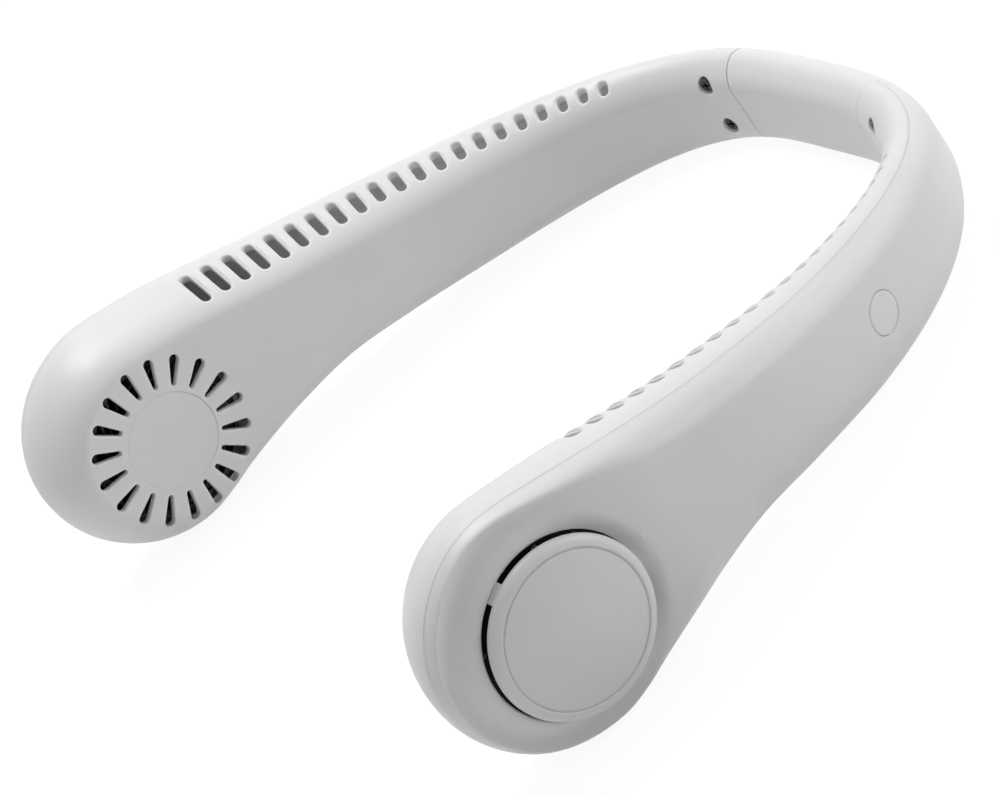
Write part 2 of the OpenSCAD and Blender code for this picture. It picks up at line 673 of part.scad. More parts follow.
// Stator: laminated core with T-shaped poles
core_r = 3.6;
tooth_w = 1;
shoe_t = 0.6;
shoe_a = 30;
module stator() {
    color([0.5, 0.51, 0.54]) on_pod(wall_n + stator_n0) {
        difference() {
            cylinder(h = stator_l, r = core_r, $fn = 48);
            translate([0, 0, -cut_over])
                cylinder(h = stator_l + 2 * cut_over, r = tube_r + eps_fit, $fn = 48);
        }
        for (i = [0:pole_count - 1])
            rotate([0, 0, 360 / pole_count * i]) {
                translate([core_r - tooth_w / 2, -tooth_w / 2, 0])
                    cube([stator_r - core_r, tooth_w, stator_l]);
                linear_extrude(stator_l)
                    polygon(concat(
                        [for (a = [-shoe_a / 2:shoe_a / 4:shoe_a / 2])
                            stator_r * [cos(a), sin(a)]],
                        [for (a = [shoe_a / 2:-shoe_a / 4:-shoe_a / 2])
                            (stator_r - shoe_t) * [cos(a), sin(a)]]));
            }
    }
}

coil_t = 0.45;
coil_clear = 0.12;
module windings() {
    color([0.72, 0.42, 0.2]) on_pod(wall_n + stator_n0)
        for (i = [0:pole_count - 1])
            rotate([0, 0, 360 / pole_count * i])
                difference() {
                    translate([core_r + coil_clear * 2, -tooth_w / 2 - coil_t, -coil_t])
                        cube([stator_r - shoe_t - core_r - coil_clear * 4,
                            tooth_w + 2 * coil_t, stator_l + 2 * coil_t]);
                    translate([0, -tooth_w / 2 - eps_fit, -eps_fit])
                        cube([stator_r, tooth_w + 2 * eps_fit, stator_l + 2 * eps_fit]);
                }
}

// Air guide: tongue round the impeller and floor of the duct
guide_t = 1;
guide_s1 = 124;
guide_n = 24;
tongue_r = impeller_r + 1.1;
tongue_a0 = -80;
tongue_a1 = -8;
guide_s0 = axis_back + tongue_r + guide_t / 4;
guide_n0 = 7.5;
function duct_h(s) = pod_r * smooth_at(duct_shares, share_s(s));
function floor_z(s) = top_z(s) - wall - duct_h(s);
// Under the dish the guide stays below the inlet ring
function guide_ring(s) =
    let (z = floor_z(s), d = top_z(s) - z,
        a = -room(s, d, wall, -1, true) + seat_gap,
        skin = room(s, min(d, z - bot_z(s)), wall, 1, z > mid_z(s)) - seat_gap,
        b = from_axis(s, z) < dish_end(s) + seat_gap ? inlet_top - inlet_t - seat_gap : skin)
    [wrap(s, a, z), wrap(s, b, z), wrap(s, b, z - guide_t), wrap(s, a, z - guide_t)];
module air_guide() {
    color([0.85, 0.85, 0.86]) {
        loft([for (i = [0:guide_n])
            guide_ring(guide_s0 + (guide_s1 - guide_s0) * i / guide_n)]);
        on_pod(-guide_n0)
            linear_extrude(guide_n0 + inlet_top - inlet_t - seat_gap)
                polygon(concat(
                    [for (a = [tongue_a0:6:tongue_a1]) tongue_r * [cos(a), sin(a)]],
                    [for (a = [tongue_a1:-6:tongue_a0])
                        (tongue_r + guide_t) * [cos(a), sin(a)]]));
    }
}

// Battery cell with its sealed end, and the foam pad that holds it to the inner shell
battery_s = 56;
battery_tilt = -5;
battery_turn = -4.6;
lead_space = 3.1;
pad_t = 1.8;
pad_fit = 0.05;
pad_l = 18;
pad_h = 8;
battery_round = 1.5;
cap_l = 2;
battery_top = floor_z(battery_s) - guide_t - lead_space;
battery_low = bot_z(battery_s) + battery_lift;
battery_h = battery_top - battery_low;
battery_n = wall + seat_gap + pad_t - in_t(battery_s);
module battery_frame() {
    at(battery_s, battery_n, (battery_top + battery_low) / 2)
        rotate([battery_tilt, 0, battery_turn]) children();
}
module battery() {
    color([0.55, 0.58, 0.62]) battery_frame() {
        translate([0, battery_l / 2 - cap_l, 0]) rotate([90, 0, 0])
            linear_extrude(battery_l - cap_l)
                polygon(cell_outline(battery_t, battery_h, battery_round));
        translate([battery_t / 4, battery_l / 2 - cap_l, -battery_h / 4])
            cube([battery_t / 2, cap_l, battery_h / 2]);
    }
}
function cell_outline(t, h, r) = [
    [r, -h / 2], [t - r, -h / 2], [t - r * 0.3, r * 0.3 - h / 2], [t, r - h / 2],
    [t, h / 2 - r], [t - r * 0.3, h / 2 - r * 0.3], [t - r, h / 2], [r, h / 2],
    [r * 0.3, h / 2 - r * 0.3], [0, h / 2 - r], [0, r - h / 2], [r * 0.3, r * 0.3 - h / 2]];
module battery_pad() {
    color([0.2, 0.2, 0.22]) battery_frame()
        translate([-pad_t, -pad_l / 2, -pad_h / 2]) cube([pad_t - pad_fit, pad_l, pad_h]);
}

// Motor lead, from the motor's base past the impeller and under the duct's floor
lead_r = 0.6;
lead_clear = 0.5;
function under_floor(s) = [s, 0, floor_z(s) - guide_t - lead_r - lead_clear];
// Routes as places along the arm, depths, and heights above the fan's axis or the arm's middle
motor_route = [[base_r + lead_r + hairline, -11.6, 0.2], [12, -11.6, -4], [16.6, -11.2, -8], [21, -9, -9.4]];
mid_route = [[26, -4.5, -8.5], [30, -1, -4]];
lead_stops = [36, 47, 58, 70, 78];
arm_route = [[84, 0, 4.7], [92, 0, 2.8], [102, -0.1, 0.6], [111.6, -0.2, -0.1]];
board_route = [[99, 0.4, -0.5], [104, 0.7, -0.2], [110, 0.2, -0.1]];
neck_route = [[118, -0.9, -0.2], [126, -1.2, 0], [140, -1.2, 0], [146, -1.2, 0]];
function by_axis(q) = [q[0] + axis_back, q[1], q[2] - axis_drop];
function above_mid(q) = [q[0], q[1], mid_z(q[0]) + q[2]];
function in_plug(s) = [s, wire_n, mid_z(s)];
// Ends of the leads: on the control board, and at the neck piece
function board_end() = [[83, 0, board_top + lead_r], [87, -0.1, board_top - lead_r / 2]];
function last_stretch() = concat([for (q = neck_route) above_mid(q)], [in_plug(wire_s0 - wire_gap)]);
function neck_end() = concat([for (q = arm_route) above_mid(q)], last_stretch());
module motor_lead(last_part) {
    color([0.75, 0.12, 0.1])
        tube(smooth_line(along(concat([for (q = motor_route) by_axis(q)], mid_route,
            [for (s = lead_stops) under_floor(s)], last_part)), 2), lead_r);
}
// Smooth line through the points p, with n steps from each to the next
function smooth_line(p, n) = concat(
    [for (i = [0:len(p) - 2]) for (k = [0:n - 1])
        let (u = k / n, a = p[max(0, i - 1)], b = p[i], c = p[i + 1], d = p[min(len(p) - 1, i + 2)])
        ((2 * b) + (c - a) * u + (2 * a - 5 * b + 4 * c - d) * u * u
            + (3 * b - a - 3 * c + d) * u * u * u) / 2],
    [last(p)]);

// Neck piece
sleeve_gap = 0.25;
sleeve_n = 8;
sleeve_stations = [for (i = [0:sleeve_n])
    seam_s + sleeve_gap + (half_len - seam_s - sleeve_gap) * i / sleeve_n];
module neck_sleeve() {
    color([0.95, 0.95, 0.96]) {
        outer = across(sleeve_stations, function(s) wrap_ring(s, section_ring(s, 0)));
        inner = across(sleeve_stations, function(s) wrap_ring(s, section_ring(s, sleeve_t)));
        m = len(outer[0]);
        c = len(outer);
        base = m * c;
        polyhedron(
            points = concat(join(outer), join(inner)),
            faces = concat(
                join([for (j = [0:c - 2]) for (i = [0:m - 1])
                    let (a = j * m + i, b = j * m + (i + 1) % m)
                    [[a, b + m, b], [a, a + m, b + m],
                        [base + b, base + a + m, base + a], [base + b, base + b + m, base + a + m]]]),
                join([for (i = [0:m - 1]) let (b = (i + 1) % m, e = (c - 1) * m)
                    [[b, base + i, i], [b, base + b, base + i],
                        [e + i, base + e + b, e + b], [e + i, base + e + i, base + e + b]]])));
    }
}

strip_n = 1;
strip_s0 = seam_s - 4;
function band_ring(s, n0, n1, h) = [
    wrap(s, n0, mid_z(s) - h / 2), wrap(s, n0, mid_z(s) + h / 2),
    wrap(s, n1, mid_z(s) + h / 2), wrap(s, n1, mid_z(s) - h / 2)];
strip_stations = [for (i = [0:sleeve_n + 2])
    strip_s0 + (half_len - strip_s0) * i / (sleeve_n + 2)];
module neck_spring() {
    color([0.75, 0.76, 0.78])
        loft(across(strip_stations, function(s)
            band_ring(s, strip_n - strip_t / 2, strip_n + strip_t / 2, strip_h)));
}

// Plug that joins the neck piece to an arm: a body inside the arm, a tongue inside the sleeve
plug_n = 6;
plug_step = 0.6;
wire_r = 0.7;
wire_n = -1.2;
wire_room = 0.3;
plug_stations = concat(
    [for (i = [0:plug_n]) [plug_s0 + (seam_s - plug_step - plug_s0) * i / plug_n, body_set]],
    [for (i = [0:plug_n])
        [seam_s - plug_step + eps_fit + (plug_s1 - seam_s + plug_step) * i / plug_n, tongue_set]]);
pocket_n0 = wire_n - wire_r - wire_room;
pocket_n1 = strip_n + strip_t / 2 + seat_gap;
wire_h = 2 * (wire_r + wire_room);
// Each pocket of the plug is a box swept along the neck, open at both ends
pocket_n = 14;
function slot_ring(s, n0, n1, h) = [
    wrap(s, n0, mid_z(s) - h), wrap(s, n0, mid_z(s) + h),
    wrap(s, n1, mid_z(s) + h), wrap(s, n1, mid_z(s) - h)];
module pocket(n0, n1, h) {
    loft([for (i = [0:pocket_n])
        slot_ring(plug_s0 - cut_over + (plug_s1 - plug_s0 + 2 * cut_over) * i / pocket_n, n0, n1, h)]);
}
module neck_plug() {
    color([0.8, 0.8, 0.82]) difference() {
        loft([for (q = plug_stations) wrap_ring(q[0], section_ring(q[0], q[1]))]);
        pocket(strip_n - strip_t / 2 - seat_gap, pocket_n1, strip_h / 2 + seat_gap);
        pocket(pocket_n0, strip_n, wire_h / 2);
        at_screws() {
            translate([0, 0, -pod_in]) cylinder(h = 2 * pod_in, r = screw_r + boss_fit, $fn = 32);
            translate([0, 0, outer_boss_n - seat_gap])
                cylinder(h = pod_in, r = boss_r + seat_gap, $fn = 32);
            translate([0, 0, inner_boss_l - in_t(screw_s) + seat_gap - pod_in])
                cylinder(h = pod_in, r = boss_r + seat_gap, $fn = 32);
        }
    }
}

module neck_screws() {
    color([0.6, 0.61, 0.63])
        at_screws()
            translate([0, 0, head_seat - in_t(screw_s)]) {
                difference() {
                    translate([0, 0, -head_h]) cylinder(h = head_h, r = screw_head_r, $fn = 32);
                    translate([0, 0, -head_h - cut_over])
                        linear_extrude(head_h / 2 + cut_over) cross_2d();
                }
                translate([0, 0, -eps_fit]) cylinder(h = screw_l, r = screw_r, $fn = 32);
            }
}
cross_w = 0.45;
cross_l = 1.9;
module cross_2d() {
    square([cross_w, cross_l], center = true);
    square([cross_l, cross_w], center = true);
}

// Wires through the neck piece, and the lead that goes on from them to the control board
wire_s0 = 152;
wire_gap = 0.05;
wire_stops = [wire_s0, 158, 164, 170];
function along(route) = [for (q = route) wrap(q[0], q[1], q[2])];
module board_lead() {
    color([0.15, 0.15, 0.16]) tube(
        smooth_line(along(concat([for (q = board_route) above_mid(q)], last_stretch())), 2), lead_r);
}
module neck_wiring() {
    half = along([for (s = wire_stops) in_plug(s)]);
    color([0.15, 0.15, 0.16])
        tube(smooth_line(concat(half, [wrap(half_len, wire_n, mid_z(half_len))],
            mirror_ring(reversed(half))), 3), wire_r);
}

// Control board, switch, button and charging socket in the left arm
board_t = 1;
board_n = 0.5;
board_h = 12;
board_l = 24;
board_back = 4;
foot_y = 6;
foot_l = 11;
foot_h = 2;
board_drop = 2;
switch_w = 4.5;
switch_h = 1.8;
plunger_r = 1;
plunger_fit = 0.06;
plunger_h = 1.1;
plunger_in = 1.2;
chip_t = 1;
chip_w = 5;
chip_y = 3;
flange_h = 0.6;
flange_over = 0.8;
switch_top = board_n + board_t + switch_h;
plunger_top = switch_top + plunger_h;
board_top = mid_z(button_s) + board_h / 2 - board_drop;
module board_frame() {
    at(button_s, 0, mid_z(button_s)) children();
}
module control_board() {
    color([0.1, 0.35, 0.2]) board_frame() {
        translate([board_n, -board_back, -board_h / 2 - board_drop]) cube([board_t, board_l, board_h]);
        translate([board_n, foot_y, -board_h / 2 - board_drop - foot_h])
            cube([board_t, foot_l, foot_h + board_t]);
        translate([board_n - chip_t, chip_y, -chip_t]) cube([chip_t + board_t / 2, chip_w, chip_w]);
        translate([board_n - chip_t, chip_t - board_back, -chip_t])
            cube([chip_t + board_t / 2, chip_w / 2, chip_w / 2]);
    }
}
module tact_switch() {
    color([0.2, 0.2, 0.22]) board_frame()
        translate([board_n + board_t, 0, 0]) rotate([0, 90, 0])
            difference() {
                translate([-switch_w / 2, -switch_w / 2, 0]) cube([switch_w, switch_w, switch_h]);
                translate([0, 0, switch_h - plunger_in - button_travel])
                    cylinder(h = switch_h, r = plunger_r + plunger_fit, $fn = 32);
            }
}
module switch_plunger() {
    color([0.85, 0.85, 0.8]) board_frame()
        translate([switch_top - plunger_in, 0, 0]) rotate([0, 90, 0])
            cylinder(h = plunger_h + plunger_in, r = plunger_r, $fn = 32);
}
// Outer skin patch that gives the button its crown
patch_n = 7;
patch_half = button_r + 1.2;
patch_deep = 2;
function skin_out(s, z) =
    let (upper = z > mid_z(s), d = upper ? top_z(s) - z : z - bot_z(s)) room(s, d, 0, 1, upper);
function patch_pt(i, j, set) =
    let (s = button_s + patch_half * (2 * i / patch_n - 1),
        z = mid_z(button_s) + patch_half * (2 * j / patch_n - 1))
    wrap(s, skin_out(s, z) - set, z);
module skin_patch() {
    m = patch_n + 1;
    c = m * m;
    polyhedron(
        points = concat(
            [for (i = [0:patch_n]) for (j = [0:patch_n]) patch_pt(i, j, 0)],
            [for (i = [0:patch_n]) for (j = [0:patch_n]) patch_pt(i, j, patch_deep)]),
        faces = flip(concat(
            join([for (i = [0:patch_n - 1]) for (j = [0:patch_n - 1])
                let (a = i * m + j, b = a + m)
                [[a, b, b + 1], [a, b + 1, a + 1],
                    [c + a, c + b + 1, c + b], [c + a, c + a + 1, c + b + 1]]]),
            join([for (k = [0:patch_n - 1])
                let (a = k * m, b = k * m + patch_n, e = patch_n * m + k)
                [[a, c + a + m, a + m], [a, c + a, c + a + m],
                    [b, b + m, c + b + m], [b, c + b + m, c + b],
                    [k, k + 1, c + k + 1], [k, c + k + 1, c + k],
                    [e, c + e + 1, e + 1], [e, c + e, c + e + 1]]])), true));
}
button_stem_r = button_r - 0.1 * button_r;
module power_button() {
    color([0.93, 0.93, 0.94]) {
        intersection() {
            board_frame() rotate([0, 90, 0]) cylinder(h = pod_in, r = button_r, $fn = 64);
            skin_patch();
        }
        board_frame() translate([plunger_top, 0, 0]) rotate([0, 90, 0]) {
            cylinder(h = flange_h, r = button_r + flange_over, $fn = 64);
            cylinder(h = skin_out(button_s, mid_z(button_s)) - patch_deep / 2 - plunger_top,
                r = button_stem_r, $fn = 64);
        }
    }
}

// Charging socket, which opens in the underside of the left arm
port_y = 12;
usb_recess = 0.5;
usb_shell = 0.3;
usb_tongue_t = 0.7;
usb_clear = 0.15;
module port_frame() {
    board_frame()
        translate([board_n - usb_t / 2, port_y, bot_z(button_s + port_y) + usb_recess - mid_z(button_s)])
            rotate([0, 0, 90]) children();
}
module port_cut() {
    port_frame() translate([0, 0, -wall * 2])
        linear_extrude(wall * 4) stadium(usb_w + 2 * usb_clear, usb_t + 2 * usb_clear);
}
module usb_socket() {
    color([0.7, 0.71, 0.73]) port_frame() {
        difference() {
            linear_extrude(usb_l) stadium(usb_w, usb_t);
            translate([0, 0, -cut_over])
                linear_extrude(usb_l - usb_shell * 2 + cut_over)
                    stadium(usb_w - 2 * usb_shell, usb_t - 2 * usb_shell);
        }
        translate([-usb_w / 2 + usb_t / 2, -usb_tongue_t / 2, usb_l / 6])
            cube([usb_w - usb_t, usb_tongue_t, usb_l * 5 / 6 - usb_shell]);
    }
}

module left_inner_shell() { color([0.95, 0.95, 0.96]) inner_casing(true); }
module right_inner_shell() { color([0.95, 0.95, 0.96]) right_side() inner_casing(false); }
module left_outer_shell() { color([0.93, 0.93, 0.94]) outer_casing(true); }
module right_outer_shell() { color([0.93, 0.93, 0.94]) right_side() outer_casing(false); }

placed() left_inner_shell();
placed() right_inner_shell();
placed() left_outer_shell();
placed() right_outer_shell();
placed() intake_cover();  // left_intake_cover
placed() right_side() intake_cover();  // right_intake_cover
placed() inlet_ring();  // left_inlet_ring
placed() right_side() inlet_ring();  // right_inlet_ring
placed() inlet_screws();  // left_inlet_screws
placed() right_side() inlet_screws();  // right_inlet_screws
placed() impeller();  // left_impeller
placed() right_side() impeller();  // right_impeller
placed() rotor_can();  // left_rotor_can
placed() right_side() rotor_can();  // right_rotor_can
placed() magnet_ring();  // left_magnet_ring
placed() right_side() magnet_ring();  // right_magnet_ring
placed() motor_shaft();  // left_motor_shaft
placed() right_side() motor_shaft();  // right_motor_shaft
placed() motor_base();  // left_motor_base
placed() right_side() motor_base();  // right_motor_base
placed() bushes();  // left_bushes
placed() right_side() bushes();  // right_bushes
placed() stator();  // left_stator
placed() right_side() stator();  // right_stator
placed() windings();  // left_windings
placed() right_side() windings();  // right_windings
placed() air_guide();  // left_air_guide
placed() right_side() air_guide();  // right_air_guide
placed() battery();  // left_battery
placed() right_side() battery();  // right_battery
placed() battery_pad();  // left_battery_pad
placed() right_side() battery_pad();  // right_battery_pad
placed() motor_lead(board_end());  // left_motor_lead
placed() right_side() motor_lead(neck_end());  // right_motor_lead
placed() board_lead();  // left_board_lead
placed() neck_plug();  // left_neck_plug
placed() right_side() neck_plug();  // right_neck_plug
placed() neck_screws();  // left_neck_screws
placed() right_side() neck_screws();  // right_neck_screws
placed() neck_sleeve();
placed() neck_spring();
placed() neck_wiring();
placed() control_board();
placed() tact_switch();
placed() switch_plunger();
placed() power_button();
placed() usb_socket();
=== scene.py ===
import bisect
import math

import bmesh
import bpy
from mathutils import Matrix, Vector


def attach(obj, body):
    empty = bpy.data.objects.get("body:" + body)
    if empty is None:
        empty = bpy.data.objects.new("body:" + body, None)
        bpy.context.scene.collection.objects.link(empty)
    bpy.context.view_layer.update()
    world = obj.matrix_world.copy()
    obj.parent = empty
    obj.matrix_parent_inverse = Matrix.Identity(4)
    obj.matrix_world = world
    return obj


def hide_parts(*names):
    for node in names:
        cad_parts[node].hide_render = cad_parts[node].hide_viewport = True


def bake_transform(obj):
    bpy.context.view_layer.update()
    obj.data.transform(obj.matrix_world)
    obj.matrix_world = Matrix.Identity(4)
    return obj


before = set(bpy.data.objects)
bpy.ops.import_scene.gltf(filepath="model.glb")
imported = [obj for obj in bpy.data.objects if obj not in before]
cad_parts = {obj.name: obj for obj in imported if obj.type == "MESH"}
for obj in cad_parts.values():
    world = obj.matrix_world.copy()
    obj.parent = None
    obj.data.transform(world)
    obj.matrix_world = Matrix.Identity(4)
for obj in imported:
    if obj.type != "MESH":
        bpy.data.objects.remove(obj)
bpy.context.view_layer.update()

MM = 0.001
SIDES = (("left", False), ("right", True))

# Casing sizes in millimetres, as in the part
HALF_WIDTH = 82.0
REACH = 131.5
SQUARENESS = 3.25
SEAM_S = 154.0
POD_R = 24.2
POD_IN = 14.0
POD_OUT = 10.2
RIM_OUT = 5.5
TIP_BACK = 8.0
TIP_LEN = 36.0
NECK_H = 21.3
NECK_IN = 5.2
NECK_OUT = 5.0
ARCH_H = 5.6
WALL = 1.7
EDGE_IN_POD = 7.4
EDGE_NECK = 5.0
EDGE_OUT_TOP = 7.0
EDGE_OUT_UNDER = 13.5
IN_POWER = 1.7
OUT_POWER = 1.9
PARTING_SHARE = 0.42
PARTING_TIP_SHARE = 0.05
SLEEVE_T = 2.2
COVER_R = 16.6
COVER_OUT = 10.6
OPENING_R = 16.85
LIP_OUT = 7.3
DISH_R = 19.0
DISH_MORE = 4.0
CREST_D = 0.6
VALLEY_W = 6.0
AXIS_BACK = 1.1
AXIS_DROP = 1.2
BUTTON_S = 84.8
BUTTON_R = 4.0
BUTTON_GAP = 0.15
TOP_SHARES = [(0, 1), (0.035, 0.973), (0.112, 0.8625), (0.168, 0.765), (0.253, 0.615),
              (0.337, 0.485), (0.45, 0.32), (0.562, 0.19), (0.674, 0.085), (0.787, 0.018), (1, 0)]
ARCH_SHARES = [(0, 0), (0.035, 0.14), (0.07, 0.4), (0.112, 0.63), (0.168, 0.86), (0.24, 1),
               (0.337, 0.72), (0.45, 0.3), (0.562, 0.07), (0.674, 0), (1, 0)]
SLIM_SHARES = [(0, 1), (0.08, 1), (0.3, 0.86), (0.53, 0.42), (0.76, 0.04), (1, 0)]

# Finer edges, gaps and valleys than the part's
EDGE_OUT_POD = 1.4
HAIRLINE = 0.03
SEAM_GAP = 0.12
VALLEY_DEPTH = 1.05
ARM_VALLEY_SHARE = 0.6

# Shares at which the dish starts up the rounding, the pod's edge ends and the nape's starts,
# and the most of a rib that its rounding takes
DISH_START = 0.55
POD_END = 0.25
NAPE_START = 0.56
EDGE_MOST = 0.94

MID_Y = (REACH + NECK_OUT - POD_R) / 2
NECK_TOP = NECK_H - POD_R

# How the casing's grid is laid: steps of the plan, and shares of the outline and of each rib
PLAN_STEPS = 2400
ARM_SHARE = 0.4
BEND_SHARE = 0.5

# How far the cutters go in, start outside, and sink their rounded lips
SLOT_DEEP = WALL + 1.2
HOLE_DEEP = WALL + 1.0
CUT_CLEAR = 0.6
CUT_BITE = 0.004


# Casing geometry
def smooth_at(table, x):
    """Value at x of a smooth curve through the table's points, with no overshoot."""
    i = min(max(bisect.bisect_right([q[0] for q in table], x) - 1, 0), len(table) - 2)

    def slope(k):
        if k in (0, len(table) - 1):
            return 0.0
        rise = table[k + 1][1] - table[k][1]
        fall = table[k][1] - table[k - 1][1]
        if rise * fall <= 0:
            return 0.0
        return (rise + fall) / (table[k + 1][0] - table[k - 1][0])

    width = table[i + 1][0] - table[i][0]
    u = (x - table[i][0]) / width
    a = table[i][1] * (1 - 3 * u * u + 2 * u ** 3) + table[i + 1][1] * (3 * u * u - 2 * u ** 3)
    return a + width * (slope(i) * (u - 2 * u * u + u ** 3) + slope(i + 1) * (u ** 3 - u * u))


def ease(u):
    """Smooth step from 0 to 1 while u goes from 0 to 1."""
    v = min(max(u, 0.0), 1.0)
    return v * v * (3 - 2 * v)


PLAN = []
for step in range(PLAN_STEPS + 1):
    a = math.pi / 2 * (1 - (1 - step / PLAN_STEPS) ** (SQUARENESS / 2))
    PLAN.append((HALF_WIDTH * max(math.cos(a), 0) ** (2 / SQUARENESS), REACH * math.sin(a)))
PLAN_S = [0.0]
for (xa, ya), (xb, yb) in zip(PLAN, PLAN[1:]):
    PLAN_S.append(PLAN_S[-1] + math.hypot(xb - xa, yb - ya))
HALF_LEN = PLAN_S[-1]


def plan_at(s):
    """Point and turn of the casing's middle surface at length s; past the nape it is mirrored."""
    if s <= 0:
        return HALF_WIDTH, s, 0.0
    if s > HALF_LEN:
        x, y, turn = plan_at(2 * HALF_LEN - s)
        return -x, y, math.pi - turn
    i = min(max(bisect.bisect_right(PLAN_S, s) - 1, 0), len(PLAN) - 2)
    f = (s - PLAN_S[i]) / (PLAN_S[i + 1] - PLAN_S[i])
    x = PLAN[i][0] + (PLAN[i + 1][0] - PLAN[i][0]) * f
    y = PLAN[i][1] + (PLAN[i + 1][1] - PLAN[i][1]) * f

    def turn_of(k):
        k = min(max(k, 1), len(PLAN) - 2)
        return math.atan2(PLAN[k - 1][0] - PLAN[k + 1][0], PLAN[k + 1][1] - PLAN[k - 1][1])

    return x, y, turn_of(i) + (turn_of(i + 1) - turn_of(i)) * f


def wrap(s, n, z):
    """Place in metres of the point n outside the middle surface at length s and height z."""
    x, y, turn = plan_at(s)
    return Vector((x + n * math.cos(turn), y + n * math.sin(turn) - MID_Y, z + POD_R)) * MM


def share(s):
    """0 at the pod, 1 at the middle of the nape."""
    return min(max(s, 0), 2 * HALF_LEN - s) / HALF_LEN


def top_z(s):
    return NECK_TOP + (POD_R - NECK_TOP) * smooth_at(TOP_SHARES, share(s))


def bot_z(s):
    return ARCH_H * smooth_at(ARCH_SHARES, share(s)) - POD_R


def in_t(s):
    return NECK_IN + (POD_IN - NECK_IN) * smooth_at(SLIM_SHARES, share(s))


def tip(s):
    """1 at a pod's free end, 0 on the arm."""
    return 1 - ease((s + TIP_BACK) / TIP_LEN)


def out_t(s):
    full = NECK_OUT + (POD_OUT - NECK_OUT) * smooth_at(SLIM_SHARES, share(s))
    return full - (POD_OUT - RIM_OUT) * tip(s)


def parting_n(s):
    return (PARTING_SHARE + PARTING_TIP_SHARE * tip(s)) * out_t(s)


def mixed(pod, arm, nape, s):
    """A value that goes from the pod's to the arm's to the nape's along the length."""
    a = pod + (arm - pod) * ease(share(s) / POD_END)
    return a + (nape - a) * ease((share(s) - NAPE_START) / (1 - NAPE_START))


def edge_in(s):
    return mixed(EDGE_IN_POD, EDGE_IN_POD, EDGE_NECK, s)


def edge_out(s, upper):
    return mixed(EDGE_OUT_POD, EDGE_OUT_TOP if upper else EDGE_OUT_UNDER, EDGE_NECK, s)


def valley(s, z):
    """1 in the middle of the soft valley that follows the pod's outline, 0 beside it."""
    d = POD_R - math.hypot(s, z) if s < 0 else min(top_z(s) - z, z - bot_z(s))
    return math.sin(math.pi * min(max((d - CREST_D) / VALLEY_W, 0), 1)) ** 2


def upper_side(s, z):
    """1 near the arm's upper edge, falling to 0 at mid height."""
    half = (top_z(s) - bot_z(s)) / 2
    return ease((z - bot_z(s) - half) / half) if s > 0 else 1.0


def dish(s, z):
    """How far the outer face lies below the arm's depth around the intake."""
    r = math.hypot(s - AXIS_BACK, z + AXIS_DROP)
    end = DISH_R + DISH_MORE * tip(s)
    slope = (out_t(s) - LIP_OUT) * ease((end - r) / (end - OPENING_R))
    along_arm = ARM_VALLEY_SHARE * (1 - tip(s)) * ease((SEAM_S - s) / SEAM_S) * upper_side(s, z)
    return slope + VALLEY_DEPTH * valley(s, z) * max(tip(s), along_arm)


def corner(s, turn, upper):
    """Edge distance and depth of the rounding at angle turn, -90 on the inside and 90 on the outside."""
    out = turn > 0
    edge = edge_out(s, upper) if out else edge_in(s)
    power = OUT_POWER if out else IN_POWER
    deep = out_t(s) if out else -in_t(s)
    a = math.radians(abs(turn))
    d = edge * (1 - max(math.cos(a), 0) ** (2 / power))
    return d, deep * math.sin(a) ** (2 / power)


def rib(t):
    """Outline point, spine point and side of the rib at share t of the way round the arm and pod."""
    if t < ARM_SHARE:
        s = SEAM_S * (1 - t / ARM_SHARE)
        return s, top_z(s), s, (top_z(s) + bot_z(s)) / 2, True
    if t > 1 - ARM_SHARE:
        s = SEAM_S * (1 - (1 - t) / ARM_SHARE)
        return s, bot_z(s), s, (top_z(s) + bot_z(s)) / 2, False
    a = math.pi / 2 + math.pi * (t - ARM_SHARE) / (1 - 2 * ARM_SHARE)
    return POD_R * math.cos(a), POD_R * math.sin(a), 0.0, 0.0, math.sin(a) > 0


def skin_point(side, t, w):
    """Point of one half of the casing: side 1 is outer, -1 inner; w runs from the parting to the spine."""
    s0, z0, s1, z1, upper = rib(t)
    s_edge = max(s0, 0)
    length = math.hypot(s1 - s0, z1 - z0)
    most = EDGE_MOST * length
    edge = min(edge_out(s_edge, upper) if side > 0 else edge_in(s_edge), most)
    parting = parting_n(s0) + (HAIRLINE if side > 0 else 0)
    a0 = math.degrees(math.asin((parting / out_t(s0)) ** (OUT_POWER / 2)))
    if w < BEND_SHARE:
        f = w / BEND_SHARE
        turn = a0 + (90 - a0) * f if side > 0 else a0 + (-90 - a0) * f
        a = math.radians(abs(turn))
        power = OUT_POWER if turn > 0 else IN_POWER
        e = edge if (turn > 0) == (side > 0) else min(edge_out(s_edge, upper), most)
        d = e * (1 - max(math.cos(a), 0) ** (2 / power))
        rise = math.sin(a) ** (2 / power)
    else:
        turn = 90 * side
        d = edge + (length - edge) * (w - BEND_SHARE) / (1 - BEND_SHARE)
        rise = 1.0
    s = s0 + (s1 - s0) * d / length
    z = z0 + (z1 - z0) * d / length
    if turn > 0:
        n = out_t(s) * rise
        if side > 0:
            n -= dish(s, z) * ease((rise ** (OUT_POWER / 2) - DISH_START) / (1 - DISH_START))
    else:
        n = -in_t(s) * rise
    return wrap(s, n, z)


def outer_depth(s, z):
    """Depth of the outer skin at length s and height z."""
    upper = z > (top_z(s) + bot_z(s)) / 2
    d = top_z(s) - z if upper else z - bot_z(s)
    u = min(max(d / edge_out(s, upper), 0), 1)
    return out_t(s) * (1 - (1 - u) ** OUT_POWER) ** (1 / OUT_POWER)


# Mesh helpers
def laid_grid(columns, rows, place):
    """A grid whose points are moved to place(u, v), with u and v from 0 to 1."""
    bm = bmesh.new()
    bmesh.ops.create_grid(bm, x_segments=columns, y_segments=rows, size=0.5)
    for v in bm.verts:
        v.co = place(v.co.x + 0.5, v.co.y + 0.5)
    return bm


